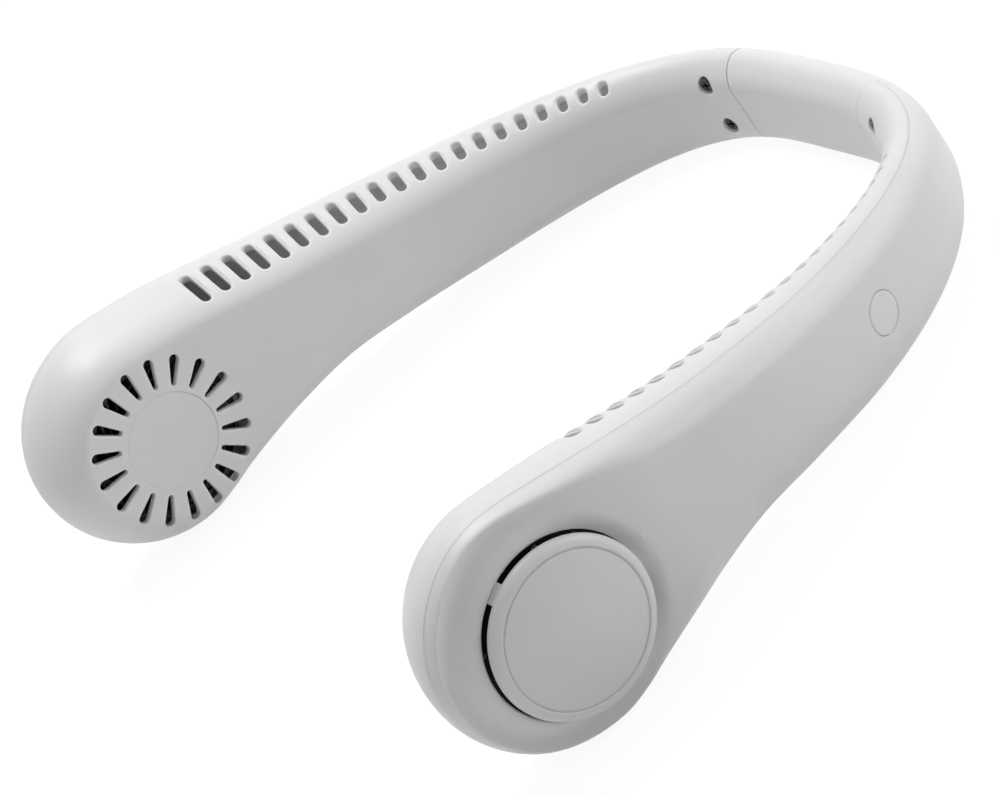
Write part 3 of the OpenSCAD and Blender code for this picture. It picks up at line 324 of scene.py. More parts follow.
def ring_tube(rings):
    """A closed tube through rings of points, each extruded from the last."""
    bm = bmesh.new()
    row = bmesh.ops.create_circle(bm, segments=len(rings[0]), radius=1)["verts"]
    for v, p in zip(row, rings[0]):
        v.co = p
    edges = list(bm.edges)
    bmesh.ops.contextual_create(bm, geom=edges)
    for ring in rings[1:]:
        made = bmesh.ops.extrude_edge_only(bm, edges=edges)["geom"]
        fresh = {v for v in made if isinstance(v, bmesh.types.BMVert)}
        edges = [e for e in made if isinstance(e, bmesh.types.BMEdge)]
        row = [next(e.other_vert(v) for e in v.link_edges if e.other_vert(v) in fresh) for v in row]
        for v, p in zip(row, ring):
            v.co = p
    bmesh.ops.contextual_create(bm, geom=edges)
    bmesh.ops.recalc_face_normals(bm, faces=bm.faces)
    return bm


def turned(profile, steps, centre):
    """A full spin of a profile of (radius, depth) points about the pod's axis."""
    bm = bmesh.new()
    verts = [bm.verts.new(Vector((n, r, 0)) * MM) for r, n in profile]
    edges = [bm.edges.new(pair) for pair in zip(verts, verts[1:])]
    bmesh.ops.spin(bm, geom=verts + edges, cent=(0, 0, 0), axis=(1, 0, 0), angle=2 * math.pi,
                   steps=steps, use_merge=True)
    bmesh.ops.remove_doubles(bm, verts=bm.verts, dist=1e-6)
    bmesh.ops.translate(bm, verts=bm.verts, vec=centre)
    bmesh.ops.recalc_face_normals(bm, faces=bm.faces)
    return bm


def into_object(bm, name, sharp=35, mirror=False):
    """Makes an object of a bmesh, smooth but for edges over the sharp angle."""
    if mirror:
        bmesh.ops.scale(bm, vec=(-1, 1, 1), verts=bm.verts)
        bmesh.ops.reverse_faces(bm, faces=bm.faces)
    for f in bm.faces:
        f.smooth = True
    for e in bm.edges:
        e.smooth = e.is_manifold and e.calc_face_angle(0) < math.radians(sharp)
    mesh = bpy.data.meshes.new(name)
    bm.to_mesh(mesh)
    bm.free()
    obj = bpy.data.objects.new(name, mesh)
    bpy.context.scene.collection.objects.link(obj)
    return obj


def joined(parts):
    """One bmesh with the faces of several."""
    whole = bmesh.new()
    for bm in parts:
        mesh = bpy.data.meshes.new("joining")
        bm.to_mesh(mesh)
        bm.free()
        whole.from_mesh(mesh)
        bpy.data.meshes.remove(mesh)
    return whole


def carved(body, cutters):
    """The bmesh body less the cutters, which don't touch one another."""
    a = into_object(body, "carving")
    b = into_object(joined(cutters), "cutting")
    cut = a.modifiers.new("cut", "BOOLEAN")
    cut.operation = "DIFFERENCE"
    cut.solver = "EXACT"
    cut.object = b
    graph = bpy.context.evaluated_depsgraph_get()
    mesh = bpy.data.meshes.new_from_object(a.evaluated_get(graph))
    bm = bmesh.new()
    bm.from_mesh(mesh)
    for obj in (a, b):
        bpy.data.objects.remove(obj)
    bpy.data.meshes.remove(mesh)
    return bm


def stadium(length, width, grow, count=9):
    """Outline of a slot with round ends, grown by grow, as (across, along) points."""
    r = width / 2 + grow
    half = length / 2 - width / 2
    ends = [math.pi * (k / (count - 1) - 0.5) for k in range(count)]
    far = [(r * math.sin(a), half + r * math.cos(a)) for a in ends]
    near = [(-r * math.sin(a), -half - r * math.cos(a)) for a in ends]
    return far + near


def lipped(outline, surface, lip, deep, clear=CUT_CLEAR, steps=5):
    """Cutter for a hole with a rounded lip: outline(grow) gives its shape and surface(p, depth) its place."""
    widest = lip * 1.02
    rings = [[surface(p, -clear) for p in outline(widest)]]
    for k in range(steps + 1):
        a = math.pi / 2 * k / steps
        grow = lip * (1 - math.sin(a))
        rings.append([surface(p, lip * (1 - math.cos(a)) - CUT_BITE) for p in outline(grow)])
    rings.append([surface(p, deep) for p in outline(0)])
    return ring_tube(rings)


# Outlet slots
CORNER_END = 0.5
CORNER_STEP = 0.4


def corner_track(s):
    """Arc length and angle along the inner upper corner of the section at s."""
    track = [(0.0, 0.0)]
    last = corner(s, -0.001, True)
    for k in range(1, 91):
        here = corner(s, -k, True)
        track.append((track[-1][0] + math.hypot(here[0] - last[0], here[1] - last[1]), float(k)))
        last = here
    return track


def corner_surface(s, track, along, across, depth):
    """Place on the inner upper corner, along its track and across it, at a depth in the wall."""
    reach = [q[0] for q in track]
    i = min(max(bisect.bisect_right(reach, along) - 1, 0), len(track) - 2)
    f = (along - reach[i]) / (reach[i + 1] - reach[i])
    a = track[i][1] + (track[i + 1][1] - track[i][1]) * f
    a = min(max(a, CORNER_END), 90 - CORNER_END)
    here = s + across
    d0, n0 = corner(here, -(a - CORNER_STEP), True)
    d1, n1 = corner(here, -(a + CORNER_STEP), True)
    d, n = corner(here, -a, True)
    run = math.hypot(d1 - d0, n1 - n0)
    # The skin's inward normal in the section
    nz, nn = (n1 - n0) / run, (d1 - d0) / run
    return wrap(here, n + nn * depth, top_z(here) - d + nz * depth)


OUTLET_S0 = 26.0
OUTLET_PITCH = 4.75
OUTLET_COUNT = 21
OUTLET_W = 2.1
OUTLET_LIP = 0.55
OUTLET_CLEAR = 3.0
# Angles round the corner between which a slot lies, by its place in the row
OUTLET_LOW = [(0, 56), (0.5, 44), (1, 43)]
OUTLET_HIGH = [(0, 10), (0.5, 10), (1, 16)]


def outlet_cutter(k):
    """Cutter of the outlet slot that is number k from the pod."""
    s = OUTLET_S0 + OUTLET_PITCH * k
    track = corner_track(s)
    f = k / (OUTLET_COUNT - 1)
    low = smooth_at(OUTLET_LOW, f)
    high = smooth_at(OUTLET_HIGH, f)
    reach = [q[0] for q in track]
    y0 = reach[int(high)]
    y1 = reach[int(low)]
    mid = (y0 + y1) / 2

    def outline(grow):
        return stadium(y1 - y0, OUTLET_W, grow)

    def surface(p, depth):
        return corner_surface(s, track, mid + p[1], p[0], depth)

    return lipped(outline, surface, OUTLET_LIP, SLOT_DEEP, OUTLET_CLEAR)


# Grille and intake on the pod
GRILLE_COUNT = 18
GRILLE_OUT_R = 18.0
GRILLE_IN_R = 11.4
GRILLE_OUT_W = 2.2
GRILLE_IN_W = 1.1
GRILLE_LIP = 0.3
HUB_GROOVE_R = 10.0
HUB_GROOVE_W = 0.24
HUB_GROOVE_DEEP = 0.05
OPENING_LIP = 0.5
OPENING_CLEAR = 6
OPENING_FLOOR = -4
TURN_STEPS = 128


def grille_cutter(k):
    """Cutter of the grille slot that is number k round the fan's axis."""
    a = math.radians(360 / GRILLE_COUNT * (k + 0.5))

    def outline(grow):
        ro = GRILLE_OUT_W / 2
        ri = GRILLE_IN_W / 2
        far = [(GRILLE_OUT_R - ro + (ro + grow) * math.cos(t), (ro + grow) * math.sin(t))
               for t in [math.pi * (j / 10 - 0.5) for j in range(11)]]
        near = [(GRILLE_IN_R + ri + (ri + grow) * math.cos(t), (ri + grow) * math.sin(t))
                for t in [math.pi * (j / 10 + 0.5) for j in range(11)]]
        return far + near

    def surface(p, depth):
        r, q = p
        across = r * math.cos(a) - q * math.sin(a)
        up = r * math.sin(a) + q * math.cos(a)
        return wrap(AXIS_BACK + across, depth - POD_IN, up - AXIS_DROP)

    return lipped(outline, surface, GRILLE_LIP, SLOT_DEEP)


def pod_centre(n):
    """The fan's axis at depth n."""
    return Vector((HALF_WIDTH + n, AXIS_BACK - MID_Y, POD_R - AXIS_DROP)) * MM


def hub_groove_cutter():
    """A fine turned groove round the middle of the grille, on the inner face."""
    r = HUB_GROOVE_R
    half = HUB_GROOVE_W / 2
    face = -POD_IN
    floor = face + HUB_GROOVE_DEEP
    clear = face - CUT_CLEAR
    profile = [(r - half, clear), (r - half, face), (r - half / 2, floor), (r + half / 2, floor),
               (r + half, face), (r + half, clear), (r - half, clear)]
    return turned(profile, TURN_STEPS, pod_centre(0))


def opening_cutter():
    """The round opening under the intake cover, with a rounded lip."""
    steps = 6
    profile = [(0, LIP_OUT + OPENING_CLEAR), (OPENING_R + OPENING_LIP, LIP_OUT + OPENING_CLEAR)]
    for k in range(steps + 1):
        a = math.pi / 2 * k / steps
        profile.append((OPENING_R + OPENING_LIP * (1 - math.sin(a)),
                        LIP_OUT - OPENING_LIP * (1 - math.cos(a)) + CUT_BITE))
    profile += [(OPENING_R, OPENING_FLOOR), (0, OPENING_FLOOR)]
    return turned(profile, TURN_STEPS, pod_centre(0))


# Screw holes beside the neck piece, button hole and charging port
SCREW_S = 146.5
SCREW_UNDER_TOP = 4.6
SCREW_OVER_BOTTOM = 6.6
SCREW_HOLE_R = 1.95
SCREW_LIP = 0.3
PORT_S = BUTTON_S + 12
PORT_LONG = 9.24
PORT_WIDE = 3.56
PORT_SHIFT = 1.13
PORT_RISE = 0.05
PORT_LIP = 0.25
BUTTON_LIP = 0.12
BUTTON_STEPS = 64


def round_outline(r, count=32):
    def outline(grow):
        return [((r + grow) * math.cos(2 * math.pi * k / count),
                 (r + grow) * math.sin(2 * math.pi * k / count)) for k in range(count)]

    return outline


def screw_cutter(z):
    def surface(p, depth):
        s = SCREW_S + p[0]
        return wrap(s, depth - in_t(s), z + p[1])

    return lipped(round_outline(SCREW_HOLE_R), surface, SCREW_LIP, HOLE_DEEP)


def port_cutter():
    """Mouth of the charging socket in the underside of the left arm."""
    def surface(p, depth):
        s = PORT_S + p[1]
        return wrap(s, p[0] - PORT_SHIFT, bot_z(s) + PORT_RISE + depth)

    return lipped(lambda grow: stadium(PORT_LONG, PORT_WIDE, grow), surface, PORT_LIP, HOLE_DEEP)


def button_cutter():
    mid = (top_z(BUTTON_S) + bot_z(BUTTON_S)) / 2

    def surface(p, depth):
        s = BUTTON_S + p[0]
        return wrap(s, outer_depth(s, mid + p[1]) - depth, mid + p[1])

    return lipped(round_outline(BUTTON_R + BUTTON_GAP, BUTTON_STEPS), surface, BUTTON_LIP, SLOT_DEEP)


# Casing halves
CASING_COLUMNS = 440
INNER_ROWS = 60
OUTER_ROWS = 76
MERGE = 2e-6
MIDDLE_R = 13.0


def casing(side, cutters):
    """One half of an arm's casing: side 1 is outer, -1 inner."""
    def place(u, v):
        return skin_point(side, u, v)

    bm = laid_grid(CASING_COLUMNS, INNER_ROWS if side < 0 else OUTER_ROWS, place)
    bmesh.ops.remove_doubles(bm, verts=bm.verts, dist=MERGE)
    if side > 0:
        # The outer half stays open in the middle of the intake
        middle = pod_centre(LIP_OUT)
        spare = [f for f in bm.faces if (f.calc_center_median() - middle).length < MIDDLE_R * MM]
        bmesh.ops.delete(bm, geom=spare, context="FACES")
    bmesh.ops.recalc_face_normals(bm, faces=bm.faces)
    bm.normal_update()
    # The face nearest this point, where the pod meets the arm, has to point out of the casing
    probe = min(bm.faces, key=lambda f: (f.calc_center_median() - wrap(20, side * 10, 0)).length)
    if probe.normal.x * side < 0:
        bmesh.ops.reverse_faces(bm, faces=bm.faces)
    bmesh.ops.solidify(bm, geom=bm.faces, thickness=WALL * MM)
    return carved(bm, cutters)


# Finishes
def shader(name, colour, roughness, metallic=0.0):
    """A new material with its node tree and its Principled shader."""
    mat = bpy.data.materials.new(name)
    mat.use_nodes = True
    bsdf = mat.node_tree.nodes["Principled BSDF"]
    bsdf.inputs["Base Color"].default_value = (*colour, 1)
    bsdf.inputs["Roughness"].default_value = roughness
    bsdf.inputs["Metallic"].default_value = metallic
    return mat, mat.node_tree, bsdf


def grain(tree, scale, detail=2.0):
    """Noise fixed to the object."""
    coords = tree.nodes.new("ShaderNodeTexCoord")
    noise = tree.nodes.new("ShaderNodeTexNoise")
    noise.inputs["Scale"].default_value = scale
    noise.inputs["Detail"].default_value = detail
    tree.links.new(coords.outputs["Object"], noise.inputs["Vector"])
    return noise.outputs["Fac"]


def ranged(tree, fac, low, high):
    """The middle of the noise spread from low to high."""
    band = tree.nodes.new("ShaderNodeMapRange")
    band.inputs["From Min"].default_value = 0.3
    band.inputs["From Max"].default_value = 0.7
    band.inputs["To Min"].default_value = low
    band.inputs["To Max"].default_value = high
    tree.links.new(fac, band.inputs["Value"])
    return band.outputs["Result"]


def tinted(tree, bsdf, fac, dark, light):
    """Base colour that goes from dark to light with fac."""
    blend = tree.nodes.new("ShaderNodeMix")
    blend.data_type = "RGBA"
    blend.inputs["A"].default_value = (*dark, 1)
    blend.inputs["B"].default_value = (*light, 1)
    tree.links.new(fac, blend.inputs["Factor"])
    tree.links.new(blend.outputs["Result"], bsdf.inputs["Base Color"])


def moulded(name, colour, roughness, texture=0.05, soft_edge=0.00018, haze=0.0):
    """Injection-moulded plastic: fine spark texture, slight flow shade, softened edges, milky body."""
    mat, tree, bsdf = shader(name, colour, roughness)
    bsdf.inputs["Subsurface Weight"].default_value = haze
    bsdf.inputs["Subsurface Radius"].default_value = (1, 1, 1)
    bsdf.inputs["Subsurface Scale"].default_value = 0.0012
    flow = ranged(tree, grain(tree, 45, 3), 0, 1)
    dark = tuple(c * 0.965 for c in colour)
    tinted(tree, bsdf, flow, dark, colour)
    patch = ranged(tree, grain(tree, 160, 3), roughness - 0.05, roughness + 0.05)
    tree.links.new(patch, bsdf.inputs["Roughness"])
    bump = tree.nodes.new("ShaderNodeBump")
    bump.inputs["Strength"].default_value = texture
    bump.inputs["Distance"].default_value = 0.0001
    tree.links.new(grain(tree, 3800, 2), bump.inputs["Height"])
    edge = tree.nodes.new("ShaderNodeBevel")
    edge.samples = 6
    edge.inputs["Radius"].default_value = soft_edge
    tree.links.new(edge.outputs["Normal"], bump.inputs["Normal"])
    tree.links.new(bump.outputs["Normal"], bsdf.inputs["Normal"])
    return mat


def metal(name, colour, roughness, stretch=(1, 1, 1), scale=900, texture=0.08):
    """Drawn or turned metal: fine stretched scratches in its gloss and surface."""
    mat, tree, bsdf = shader(name, colour, roughness, 1.0)
    coords = tree.nodes.new("ShaderNodeTexCoord")
    shift = tree.nodes.new("ShaderNodeMapping")
    shift.inputs["Scale"].default_value = stretch
    noise = tree.nodes.new("ShaderNodeTexNoise")
    noise.inputs["Scale"].default_value = scale
    noise.inputs["Detail"].default_value = 4
    tree.links.new(coords.outputs["Object"], shift.inputs["Vector"])
    tree.links.new(shift.outputs["Vector"], noise.inputs["Vector"])
    tree.links.new(ranged(tree, noise.outputs["Fac"], roughness - 0.1, roughness + 0.12),
                   bsdf.inputs["Roughness"])
    tinted(tree, bsdf, ranged(tree, grain(tree, 220, 3), 0, 1), tuple(c * 0.88 for c in colour), colour)
    bump = tree.nodes.new("ShaderNodeBump")
    bump.inputs["Strength"].default_value = texture
    bump.inputs["Distance"].default_value = 0.00005
    tree.links.new(noise.outputs["Fac"], bump.inputs["Height"])
    tree.links.new(bump.outputs["Normal"], bsdf.inputs["Normal"])
    return mat


# Painted glow on the duct walls behind the outlets: its emission strength, the reach of the enclosure test,
# and the band along Y where it fades in
PAINTED_GLOW_STRENGTH = 0.06
DUCT_WIDE = 0.012
DUCT_START = -0.042
DUCT_FULL = -0.034


def paint_duct_glow(mat):
    """Painted glow: white emission on enclosed faces, standing in for light that leaks through the milky wall
    into the duct behind the outlets; kept out of the pods.
    """
    tree = mat.node_tree
    bsdf = tree.nodes["Principled BSDF"]
    cover = tree.nodes.new("ShaderNodeAmbientOcclusion")
    cover.samples = 8
    cover.inputs["Distance"].default_value = DUCT_WIDE
    closed = tree.nodes.new("ShaderNodeMapRange")
    closed.interpolation_type = "SMOOTHSTEP"
    closed.inputs["From Min"].default_value = 0.15
    closed.inputs["From Max"].default_value = 0.5
    closed.inputs["To Min"].default_value = PAINTED_GLOW_STRENGTH
    closed.inputs["To Max"].default_value = 0.0
    coords = tree.nodes.new("ShaderNodeTexCoord")
    split = tree.nodes.new("ShaderNodeSeparateXYZ")
    along = tree.nodes.new("ShaderNodeMapRange")
    along.interpolation_type = "SMOOTHSTEP"
    along.inputs["From Min"].default_value = DUCT_START
    along.inputs["From Max"].default_value = DUCT_FULL
    glow = tree.nodes.new("ShaderNodeMath")
    glow.operation = "MULTIPLY"
    tree.links.new(cover.outputs["AO"], closed.inputs["Value"])
    tree.links.new(coords.outputs["Object"], split.inputs["Vector"])
    tree.links.new(split.outputs["Y"], along.inputs["Value"])
    tree.links.new(closed.outputs["Result"], glow.inputs[0])
    tree.links.new(along.outputs["Result"], glow.inputs[1])
    # Painted glow: white emission, strongest on the most enclosed faces
    bsdf.inputs["Emission Color"].default_value = (1, 1, 1, 1)
    tree.links.new(glow.outputs["Value"], bsdf.inputs["Emission Strength"])


MILKY = 0.6
inner_white = moulded("inner_casing_white", (0.78, 0.78, 0.785), 0.42, haze=MILKY)
outer_white = moulded("outer_casing_white", (0.76, 0.76, 0.765), 0.44, haze=MILKY)
cover_white = moulded("cover_white", (0.72, 0.72, 0.725), 0.42)
sleeve_white = moulded("sleeve_white", (0.79, 0.79, 0.795), 0.5, 0.08)
button_white = moulded("button_white", (0.76, 0.76, 0.765), 0.42)
guide_white = moulded("guide_white", (0.7, 0.7, 0.71), 0.5)
inlet_dark = moulded("inlet_dark", (0.012, 0.012, 0.013), 0.5)
impeller_grey = moulded("impeller_grey", (0.05, 0.05, 0.055), 0.45)
plug_grey = moulded("plug_grey", (0.45, 0.45, 0.46), 0.5)
foam_black = moulded("foam_black", (0.03, 0.03, 0.032), 0.9, 0.6)
board_green = moulded("board_green", (0.02, 0.12, 0.05), 0.35, 0.15)
switch_black = moulded("switch_black", (0.02, 0.02, 0.022), 0.45)
plunger_ivory = moulded("plunger_ivory", (0.6, 0.56, 0.45), 0.45)
lead_red = moulded("lead_red", (0.35, 0.01, 0.01), 0.4)
wire_black = moulded("wire_black", (0.01, 0.01, 0.011), 0.4)
cell_film = moulded("cell_film", (0.25, 0.32, 0.42), 0.3, 0.2)
# Painted glow inside the casing halves and the air guide, in place of light through the wall
for white in (inner_white, outer_white, guide_white):
    paint_duct_glow(white)
motor_cast = metal("motor_cast", (0.42, 0.43, 0.45), 0.45, scale=500, texture=0.2)
can_steel = metal("can_steel", (0.55, 0.56, 0.58), 0.32, (0.05, 1, 1), 1500)
magnet_black = metal("magnet_black", (0.1, 0.1, 0.105), 0.55, scale=1800, texture=0.3)
ground_steel = metal("ground_steel", (0.6, 0.61, 0.63), 0.25, (0.05, 1, 1), 2500)
screw_steel = metal("screw_steel", (0.45, 0.45, 0.46), 0.3, (1, 1, 1), 1800)
screw_black = metal("screw_black", (0.06, 0.06, 0.065), 0.4, (1, 1, 1), 1800)
bush_bronze = metal("bush_bronze", (0.45, 0.27, 0.12), 0.45, scale=2600, texture=0.3)
core_steel = metal("core_steel", (0.3, 0.31, 0.33), 0.4, (8, 0.2, 0.2), 900, 0.3)
copper = metal("copper", (0.55, 0.22, 0.08), 0.35, (0.2, 4, 4), 1500, 0.4)
spring_steel = metal("spring_steel", (0.5, 0.51, 0.53), 0.3, (1, 1, 0.05), 1500)
socket_steel = metal("socket_steel", (0.58, 0.59, 0.61), 0.3, (1, 1, 0.1), 1500)

CAD_FINISHES = {
    "inlet_ring": inlet_dark, "inlet_screws": screw_steel, "impeller": impeller_grey,
    "rotor_can": can_steel, "magnet_ring": magnet_black, "motor_shaft": ground_steel,
    "motor_base": motor_cast, "bushes": bush_bronze, "stator": core_steel, "windings": copper,
    "air_guide": guide_white, "battery": cell_film, "battery_pad": foam_black,
    "motor_lead": lead_red, "board_lead": wire_black, "neck_plug": plug_grey,
    "neck_screws": screw_black, "neck_spring": spring_steel, "neck_wiring": wire_black,
    "control_board": board_green, "tact_switch": switch_black, "switch_plunger": plunger_ivory,
    "usb_socket": socket_steel,
    "inner_shell": inner_white, "outer_shell": outer_white, "intake_cover": cover_white,
    "neck_sleeve": sleeve_white, "power_button": button_white,
}
for name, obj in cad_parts.items():
    key = name.replace("left_", "").replace("right_", "")
    for slot in obj.material_slots:
        slot.material = CAD_FINISHES[key]


def dressed(obj, mat, body, nodes):
    """Gives a new piece its finish, the CAD nodes it stands for, and the body it rides on, if any."""
    obj.data.materials.clear()
    obj.data.materials.append(mat)
    if body:
        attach(obj, body)
    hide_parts(*nodes)
    return obj


# Casing of both arms
def inner_cutters(with_port):
    """Everything that is cut out of an inner half."""
    cutters = [outlet_cutter(k) for k in range(OUTLET_COUNT)]
    cutters += [grille_cutter(k) for k in range(GRILLE_COUNT)]
    cutters.append(screw_cutter(top_z(SCREW_S) - SCREW_UNDER_TOP))
    cutters.append(screw_cutter(bot_z(SCREW_S) + SCREW_OVER_BOTTOM))
    cutters.append(hub_groove_cutter())
    if with_port:
        cutters.append(port_cutter())
    return cutters


def outer_cutters(with_button):
    """Everything that is cut out of an outer half."""
    cutters = [opening_cutter()]
    if with_button:
        cutters.append(button_cutter())
    return cutters


for side_name, mirror in SIDES:
    inner = casing(-1, inner_cutters(not mirror))
    dressed(into_object(inner, side_name + "_inner_casing", mirror=mirror), inner_white,
            side_name + "_arm", [side_name + "_inner_shell"])
    outer = casing(1, outer_cutters(not mirror))
    dressed(into_object(outer, side_name + "_outer_casing", mirror=mirror), outer_white,
            side_name + "_arm", [side_name + "_outer_shell"])


# Intake covers
# Radius and drop below the cover's face, over the top with its ring groove and round the edge
COVER_TURN = [(0, 2.0), (0, 0), (14.1, 0), (14.25, 0.06), (14.32, 0.3), (14.5, 0.34), (14.62, 0.1),
              (14.75, 0.02), (15.1, 0.06), (15.6, 0.24), (16.05, 0.55), (16.4, 0.95), (COVER_R, 1.5),
              (COVER_R, 2.1), (COVER_R - 0.1, 2.3), (COVER_R - 1.1, 2.3), (COVER_R - 1.2, 2.0), (0, 2.0)]
COVER_STEPS = 160
TAB_COUNT = 3
TAB_TURN = 115.5
TAB_HOOK = (1.2, 1.3, 4.0)
TAB_HOOK_AT = (LIP_OUT - 0.72, 16.08, 0)
TAB_LEG = (2.4, 1.05, 4.0)
TAB_LEG_AT = (LIP_OUT, 15.97, 0)
TAB_BEVEL = 0.15
POST_TURN = 190.5
POST_AT = 13.6
POST_R = 0.75
POST_FOOT = 2.8
POST_TOP = COVER_OUT - 1.0
POST_STEPS = 24


def cover_disc():
    """The cover's flat disc with its ring groove."""
    return turned([(r, COVER_OUT - drop) for r, drop in COVER_TURN], COVER_STEPS, pod_centre(0))


def cover_tab(angle):
    """A hook on a leg that carries the cover on the opening's lip."""
    bm = bmesh.new()
    bmesh.ops.create_cube(bm, size=1)
    bmesh.ops.scale(bm, vec=TAB_HOOK, verts=bm.verts)
    bmesh.ops.translate(bm, vec=TAB_HOOK_AT, verts=bm.verts)
    leg = bmesh.ops.create_cube(bm, size=1)["verts"]
    bmesh.ops.scale(bm, vec=TAB_LEG, verts=leg)
    bmesh.ops.translate(bm, vec=TAB_LEG_AT, verts=leg)
    bmesh.ops.bevel(bm, geom=bm.edges, offset=TAB_BEVEL, affect="EDGES", segments=2,
                    profile=0.5, material=-1)
    bmesh.ops.scale(bm, vec=(MM, MM, MM), verts=bm.verts)
    turn = Matrix.Rotation(math.radians(angle), 3, "X")
    bmesh.ops.rotate(bm, cent=(0, 0, 0), matrix=turn, verts=bm.verts)
    bmesh.ops.translate(bm, vec=pod_centre(0), verts=bm.verts)
    return bm


def cover_post(angle):
    """A screw post between the inlet ring and the cover."""
    a = math.radians(angle)
    profile = [(0, POST_FOOT), (POST_R, POST_FOOT), (POST_R, POST_TOP), (0, POST_TOP)]
    shift = Vector((0, POST_AT * math.cos(a), POST_AT * math.sin(a))) * MM
    return turned(profile, POST_STEPS, pod_centre(0) + shift)


for side_name, mirror in SIDES:
    pieces = [cover_disc()]
    pieces += [cover_tab(TAB_TURN + 360 / TAB_COUNT * k) for k in range(TAB_COUNT)]
    pieces += [cover_post(POST_TURN + 360 / TAB_COUNT * k) for k in range(TAB_COUNT)]
    dressed(into_object(joined(pieces), side_name + "_cover_disc", 30, mirror), cover_white,
            side_name + "_arm", [side_name + "_intake_cover"])


# Neck sleeve, in two halves that meet at the middle of the nape
SLEEVE_COLUMNS = 60
SLEEVE_ROWS = 160
SLEEVE_MERGE = 1e-6
TUCK = 0.18
TUCK_LEN = 0.5
# Steps round half the section: a flat, the two roundings of 90 degrees each, and a flat
FLAT_STEPS = 10
HALF_STEPS = 180 + 2 * FLAT_STEPS


def half_sleeve():
    """The left half, from the seam to the middle of the nape."""
    start = SEAM_S + SEAM_GAP
    length = HALF_LEN - start

    def point(u, v):
        s = start + length * u
        tuck = TUCK * max(0, 1 - u * length / TUCK_LEN) ** 2
        # Round the section from the middle of the inner face: up, over the top, down and back under
        angle = 2 * HALF_STEPS * v
        upper = angle < HALF_STEPS
        if not upper:
            angle = 2 * HALF_STEPS - angle
        flat = min(angle, HALF_STEPS - angle)
        turn = angle - HALF_STEPS / 2
        if flat < FLAT_STEPS:
            d, n = corner(s, -90 if turn < 0 else 90, upper)
            mid = (top_z(s) + bot_z(s)) / 2
            z = mid + ((top_z(s) - d if upper else bot_z(s) + d) - mid) * flat / FLAT_STEPS
        else:
            d, n = corner(s, turn, upper)
            z = top_z(s) - d - tuck if upper else bot_z(s) + d + tuck
        return wrap(s, n * (1 - tuck / NECK_OUT), z)

    bm = laid_grid(SLEEVE_COLUMNS, SLEEVE_ROWS, point)
    bmesh.ops.remove_doubles(bm, verts=bm.verts, dist=SLEEVE_MERGE)
    bmesh.ops.recalc_face_normals(bm, faces=bm.faces)
    bm.normal_update()
    probe = max(bm.faces, key=lambda f: f.calc_center_median().z)
    if probe.normal.z < 0:
        bmesh.ops.reverse_faces(bm, faces=bm.faces)
    bmesh.ops.solidify(bm, geom=bm.faces, thickness=SLEEVE_T * MM)
    return bm


BEND_FROM_NAPE = 5
BEND_FROM_SEAM = 2
for side_name, mirror in SIDES:
    half = into_object(half_sleeve(), side_name + "_sleeve_half", mirror=mirror)
    dressed(half, sleeve_white, None, ["neck_sleeve"])
    bend_s = (HALF_LEN - BEND_FROM_NAPE, SEAM_S + BEND_FROM_SEAM)
    bend = [wrap(s, 0, (top_z(s) + bot_z(s)) / 2) for s in bend_s]
    if mirror:
        bend = [Vector((-q.x, q.y, q.z)) for q in bend]
    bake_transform(half)


# Power button: radius and sink below the casing's skin, from the flange inside to the middle of the cap
BUTTON_RINGS = [(3.6, 3.2), (4.8, 3.2), (4.8, 2.7), (BUTTON_R, 2.7), (BUTTON_R, 0.15),
                (BUTTON_R - 0.04, 0.05), (BUTTON_R - 0.14, 0),
                (3.4, 0), (2.8, 0), (2.1, 0), (1.4, 0), (0.7, 0), (0.2, 0)]


def button_cap():
    """The cap with its flange, shaped to the skin around it."""
    mid = (top_z(BUTTON_S) + bot_z(BUTTON_S)) / 2

    def ring(r, sink):
        points = []
        for k in range(BUTTON_STEPS):
            a = 2 * math.pi * k / BUTTON_STEPS
            s = BUTTON_S + r * math.cos(a)
            z = mid + r * math.sin(a)
            points.append(wrap(s, outer_depth(s, z) - sink, z))
        return points

    return ring_tube([ring(r, sink) for r, sink in BUTTON_RINGS])


dressed(into_object(button_cap(), "power_button_cap"), button_white, "power_button",
        ["power_button"])


# Stage: pale floor, soft light and the photograph's view
def seen_rays(tree, path):
    """1 for camera, glossy and transmission rays, which see the backdrop white."""
    total = path.outputs["Is Camera Ray"]
    for ray in ("Is Glossy Ray", "Is Transmission Ray"):
        either = tree.nodes.new("ShaderNodeMath")
        either.operation = "MAXIMUM"
        tree.links.new(total, either.inputs[0])
        tree.links.new(path.outputs[ray], either.inputs[1])
        total = either.outputs["Value"]
    return total


FLOOR_HALF = 3
FLOOR_Z = -0.0002
FLOOR_PALE = (0.8, 0.8, 0.8, 1)
FLOOR_FAINT = (0.18, 0.18, 0.18, 1)
FLOOR_GLOW = 0.9
ROOM_LIGHT = 0.4
WHITE = (1, 1, 1, 1)


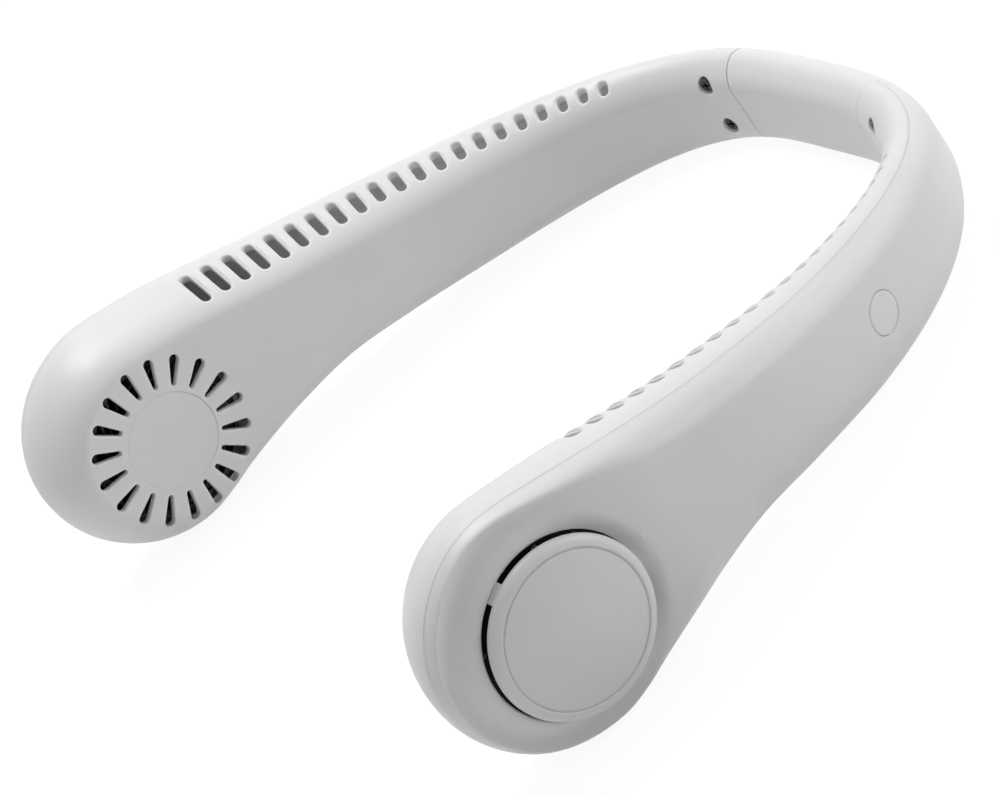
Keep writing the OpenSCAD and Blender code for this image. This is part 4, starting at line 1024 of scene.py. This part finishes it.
def stage_floor():
    """Floor that lights the object as pale card and is seen white, with the object's faint shadow."""
    bm = bmesh.new()
    bmesh.ops.create_grid(bm, x_segments=1, y_segments=1, size=FLOOR_HALF)
    bmesh.ops.translate(bm, vec=(0, 0, FLOOR_Z), verts=bm.verts)
    floor = into_object(bm, "floor")
    mat = bpy.data.materials.new("pale_floor")
    mat.use_nodes = True
    tree = mat.node_tree
    tree.nodes.clear()
    out = tree.nodes.new("ShaderNodeOutputMaterial")
    plain = tree.nodes.new("ShaderNodeBsdfDiffuse")
    plain.inputs["Color"].default_value = FLOOR_PALE
    faint = tree.nodes.new("ShaderNodeBsdfDiffuse")
    faint.inputs["Color"].default_value = FLOOR_FAINT
    glow = tree.nodes.new("ShaderNodeEmission")
    glow.inputs["Strength"].default_value = FLOOR_GLOW
    seen = tree.nodes.new("ShaderNodeAddShader")
    pick = tree.nodes.new("ShaderNodeMixShader")
    path = tree.nodes.new("ShaderNodeLightPath")
    tree.links.new(faint.outputs[0], seen.inputs[0])
    tree.links.new(glow.outputs[0], seen.inputs[1])
    tree.links.new(seen_rays(tree, path), pick.inputs[0])
    tree.links.new(plain.outputs[0], pick.inputs[1])
    tree.links.new(seen.outputs[0], pick.inputs[2])
    tree.links.new(pick.outputs[0], out.inputs["Surface"])
    floor.data.materials.append(mat)


def stage_world():
    """Soft light from all round, seen white."""
    world = bpy.data.worlds.new("studio")
    bpy.context.scene.world = world
    world.use_nodes = True
    tree = world.node_tree
    tree.nodes.clear()
    out = tree.nodes.new("ShaderNodeOutputWorld")
    room = tree.nodes.new("ShaderNodeBackground")
    room.inputs["Color"].default_value = WHITE
    room.inputs["Strength"].default_value = ROOM_LIGHT
    white = tree.nodes.new("ShaderNodeBackground")
    white.inputs["Color"].default_value = WHITE
    white.inputs["Strength"].default_value = 1.0
    pick = tree.nodes.new("ShaderNodeMixShader")
    path = tree.nodes.new("ShaderNodeLightPath")
    tree.links.new(seen_rays(tree, path), pick.inputs[0])
    tree.links.new(room.outputs[0], pick.inputs[1])
    tree.links.new(white.outputs[0], pick.inputs[2])
    tree.links.new(pick.outputs[0], out.inputs["Surface"])


def soft_lamp(name, place, size, power):
    """A round lamp aimed at the middle of the object."""
    lamp = bpy.data.lights.new(name, "AREA")
    lamp.shape = "DISK"
    lamp.size = size
    lamp.energy = power
    obj = bpy.data.objects.new(name, lamp)
    obj.location = place
    obj.rotation_euler = (-Vector(place)).to_track_quat("-Z", "Y").to_euler()
    bpy.context.scene.collection.objects.link(obj)


stage_floor()
stage_world()
soft_lamp("key", (-0.42, 0.1, 1.05), size=0.6, power=7.2)
soft_lamp("fill", (0.4, 1.3, 0.5), size=0.8, power=6.2)

# Camera at the photograph's place and turn
CAMERA_PLACE = (0.714747, -0.224394, 0.408131)
CAMERA_RIGHT = (0.492525, 0.694196, -0.524891)
CAMERA_UP = (-0.193337, 0.675322, 0.711732)
CAMERA_BACK = (0.848551, -0.249065, 0.466827)
SENSOR_WIDTH = 36
FOCAL_SHARE = 4.4
lens = bpy.data.cameras.new("camera")
lens.sensor_width = SENSOR_WIDTH
lens.lens = SENSOR_WIDTH * FOCAL_SHARE
lens.clip_start = 0.05
lens.clip_end = 20
camera = bpy.data.objects.new("camera", lens)
turn = Matrix((CAMERA_RIGHT, CAMERA_UP, CAMERA_BACK)).transposed()
camera.matrix_world = Matrix.Translation(CAMERA_PLACE) @ turn.to_4x4()
bpy.context.scene.collection.objects.link(camera)
bpy.context.scene.camera = camera
bpy.context.scene.view_settings.view_transform = "Standard"
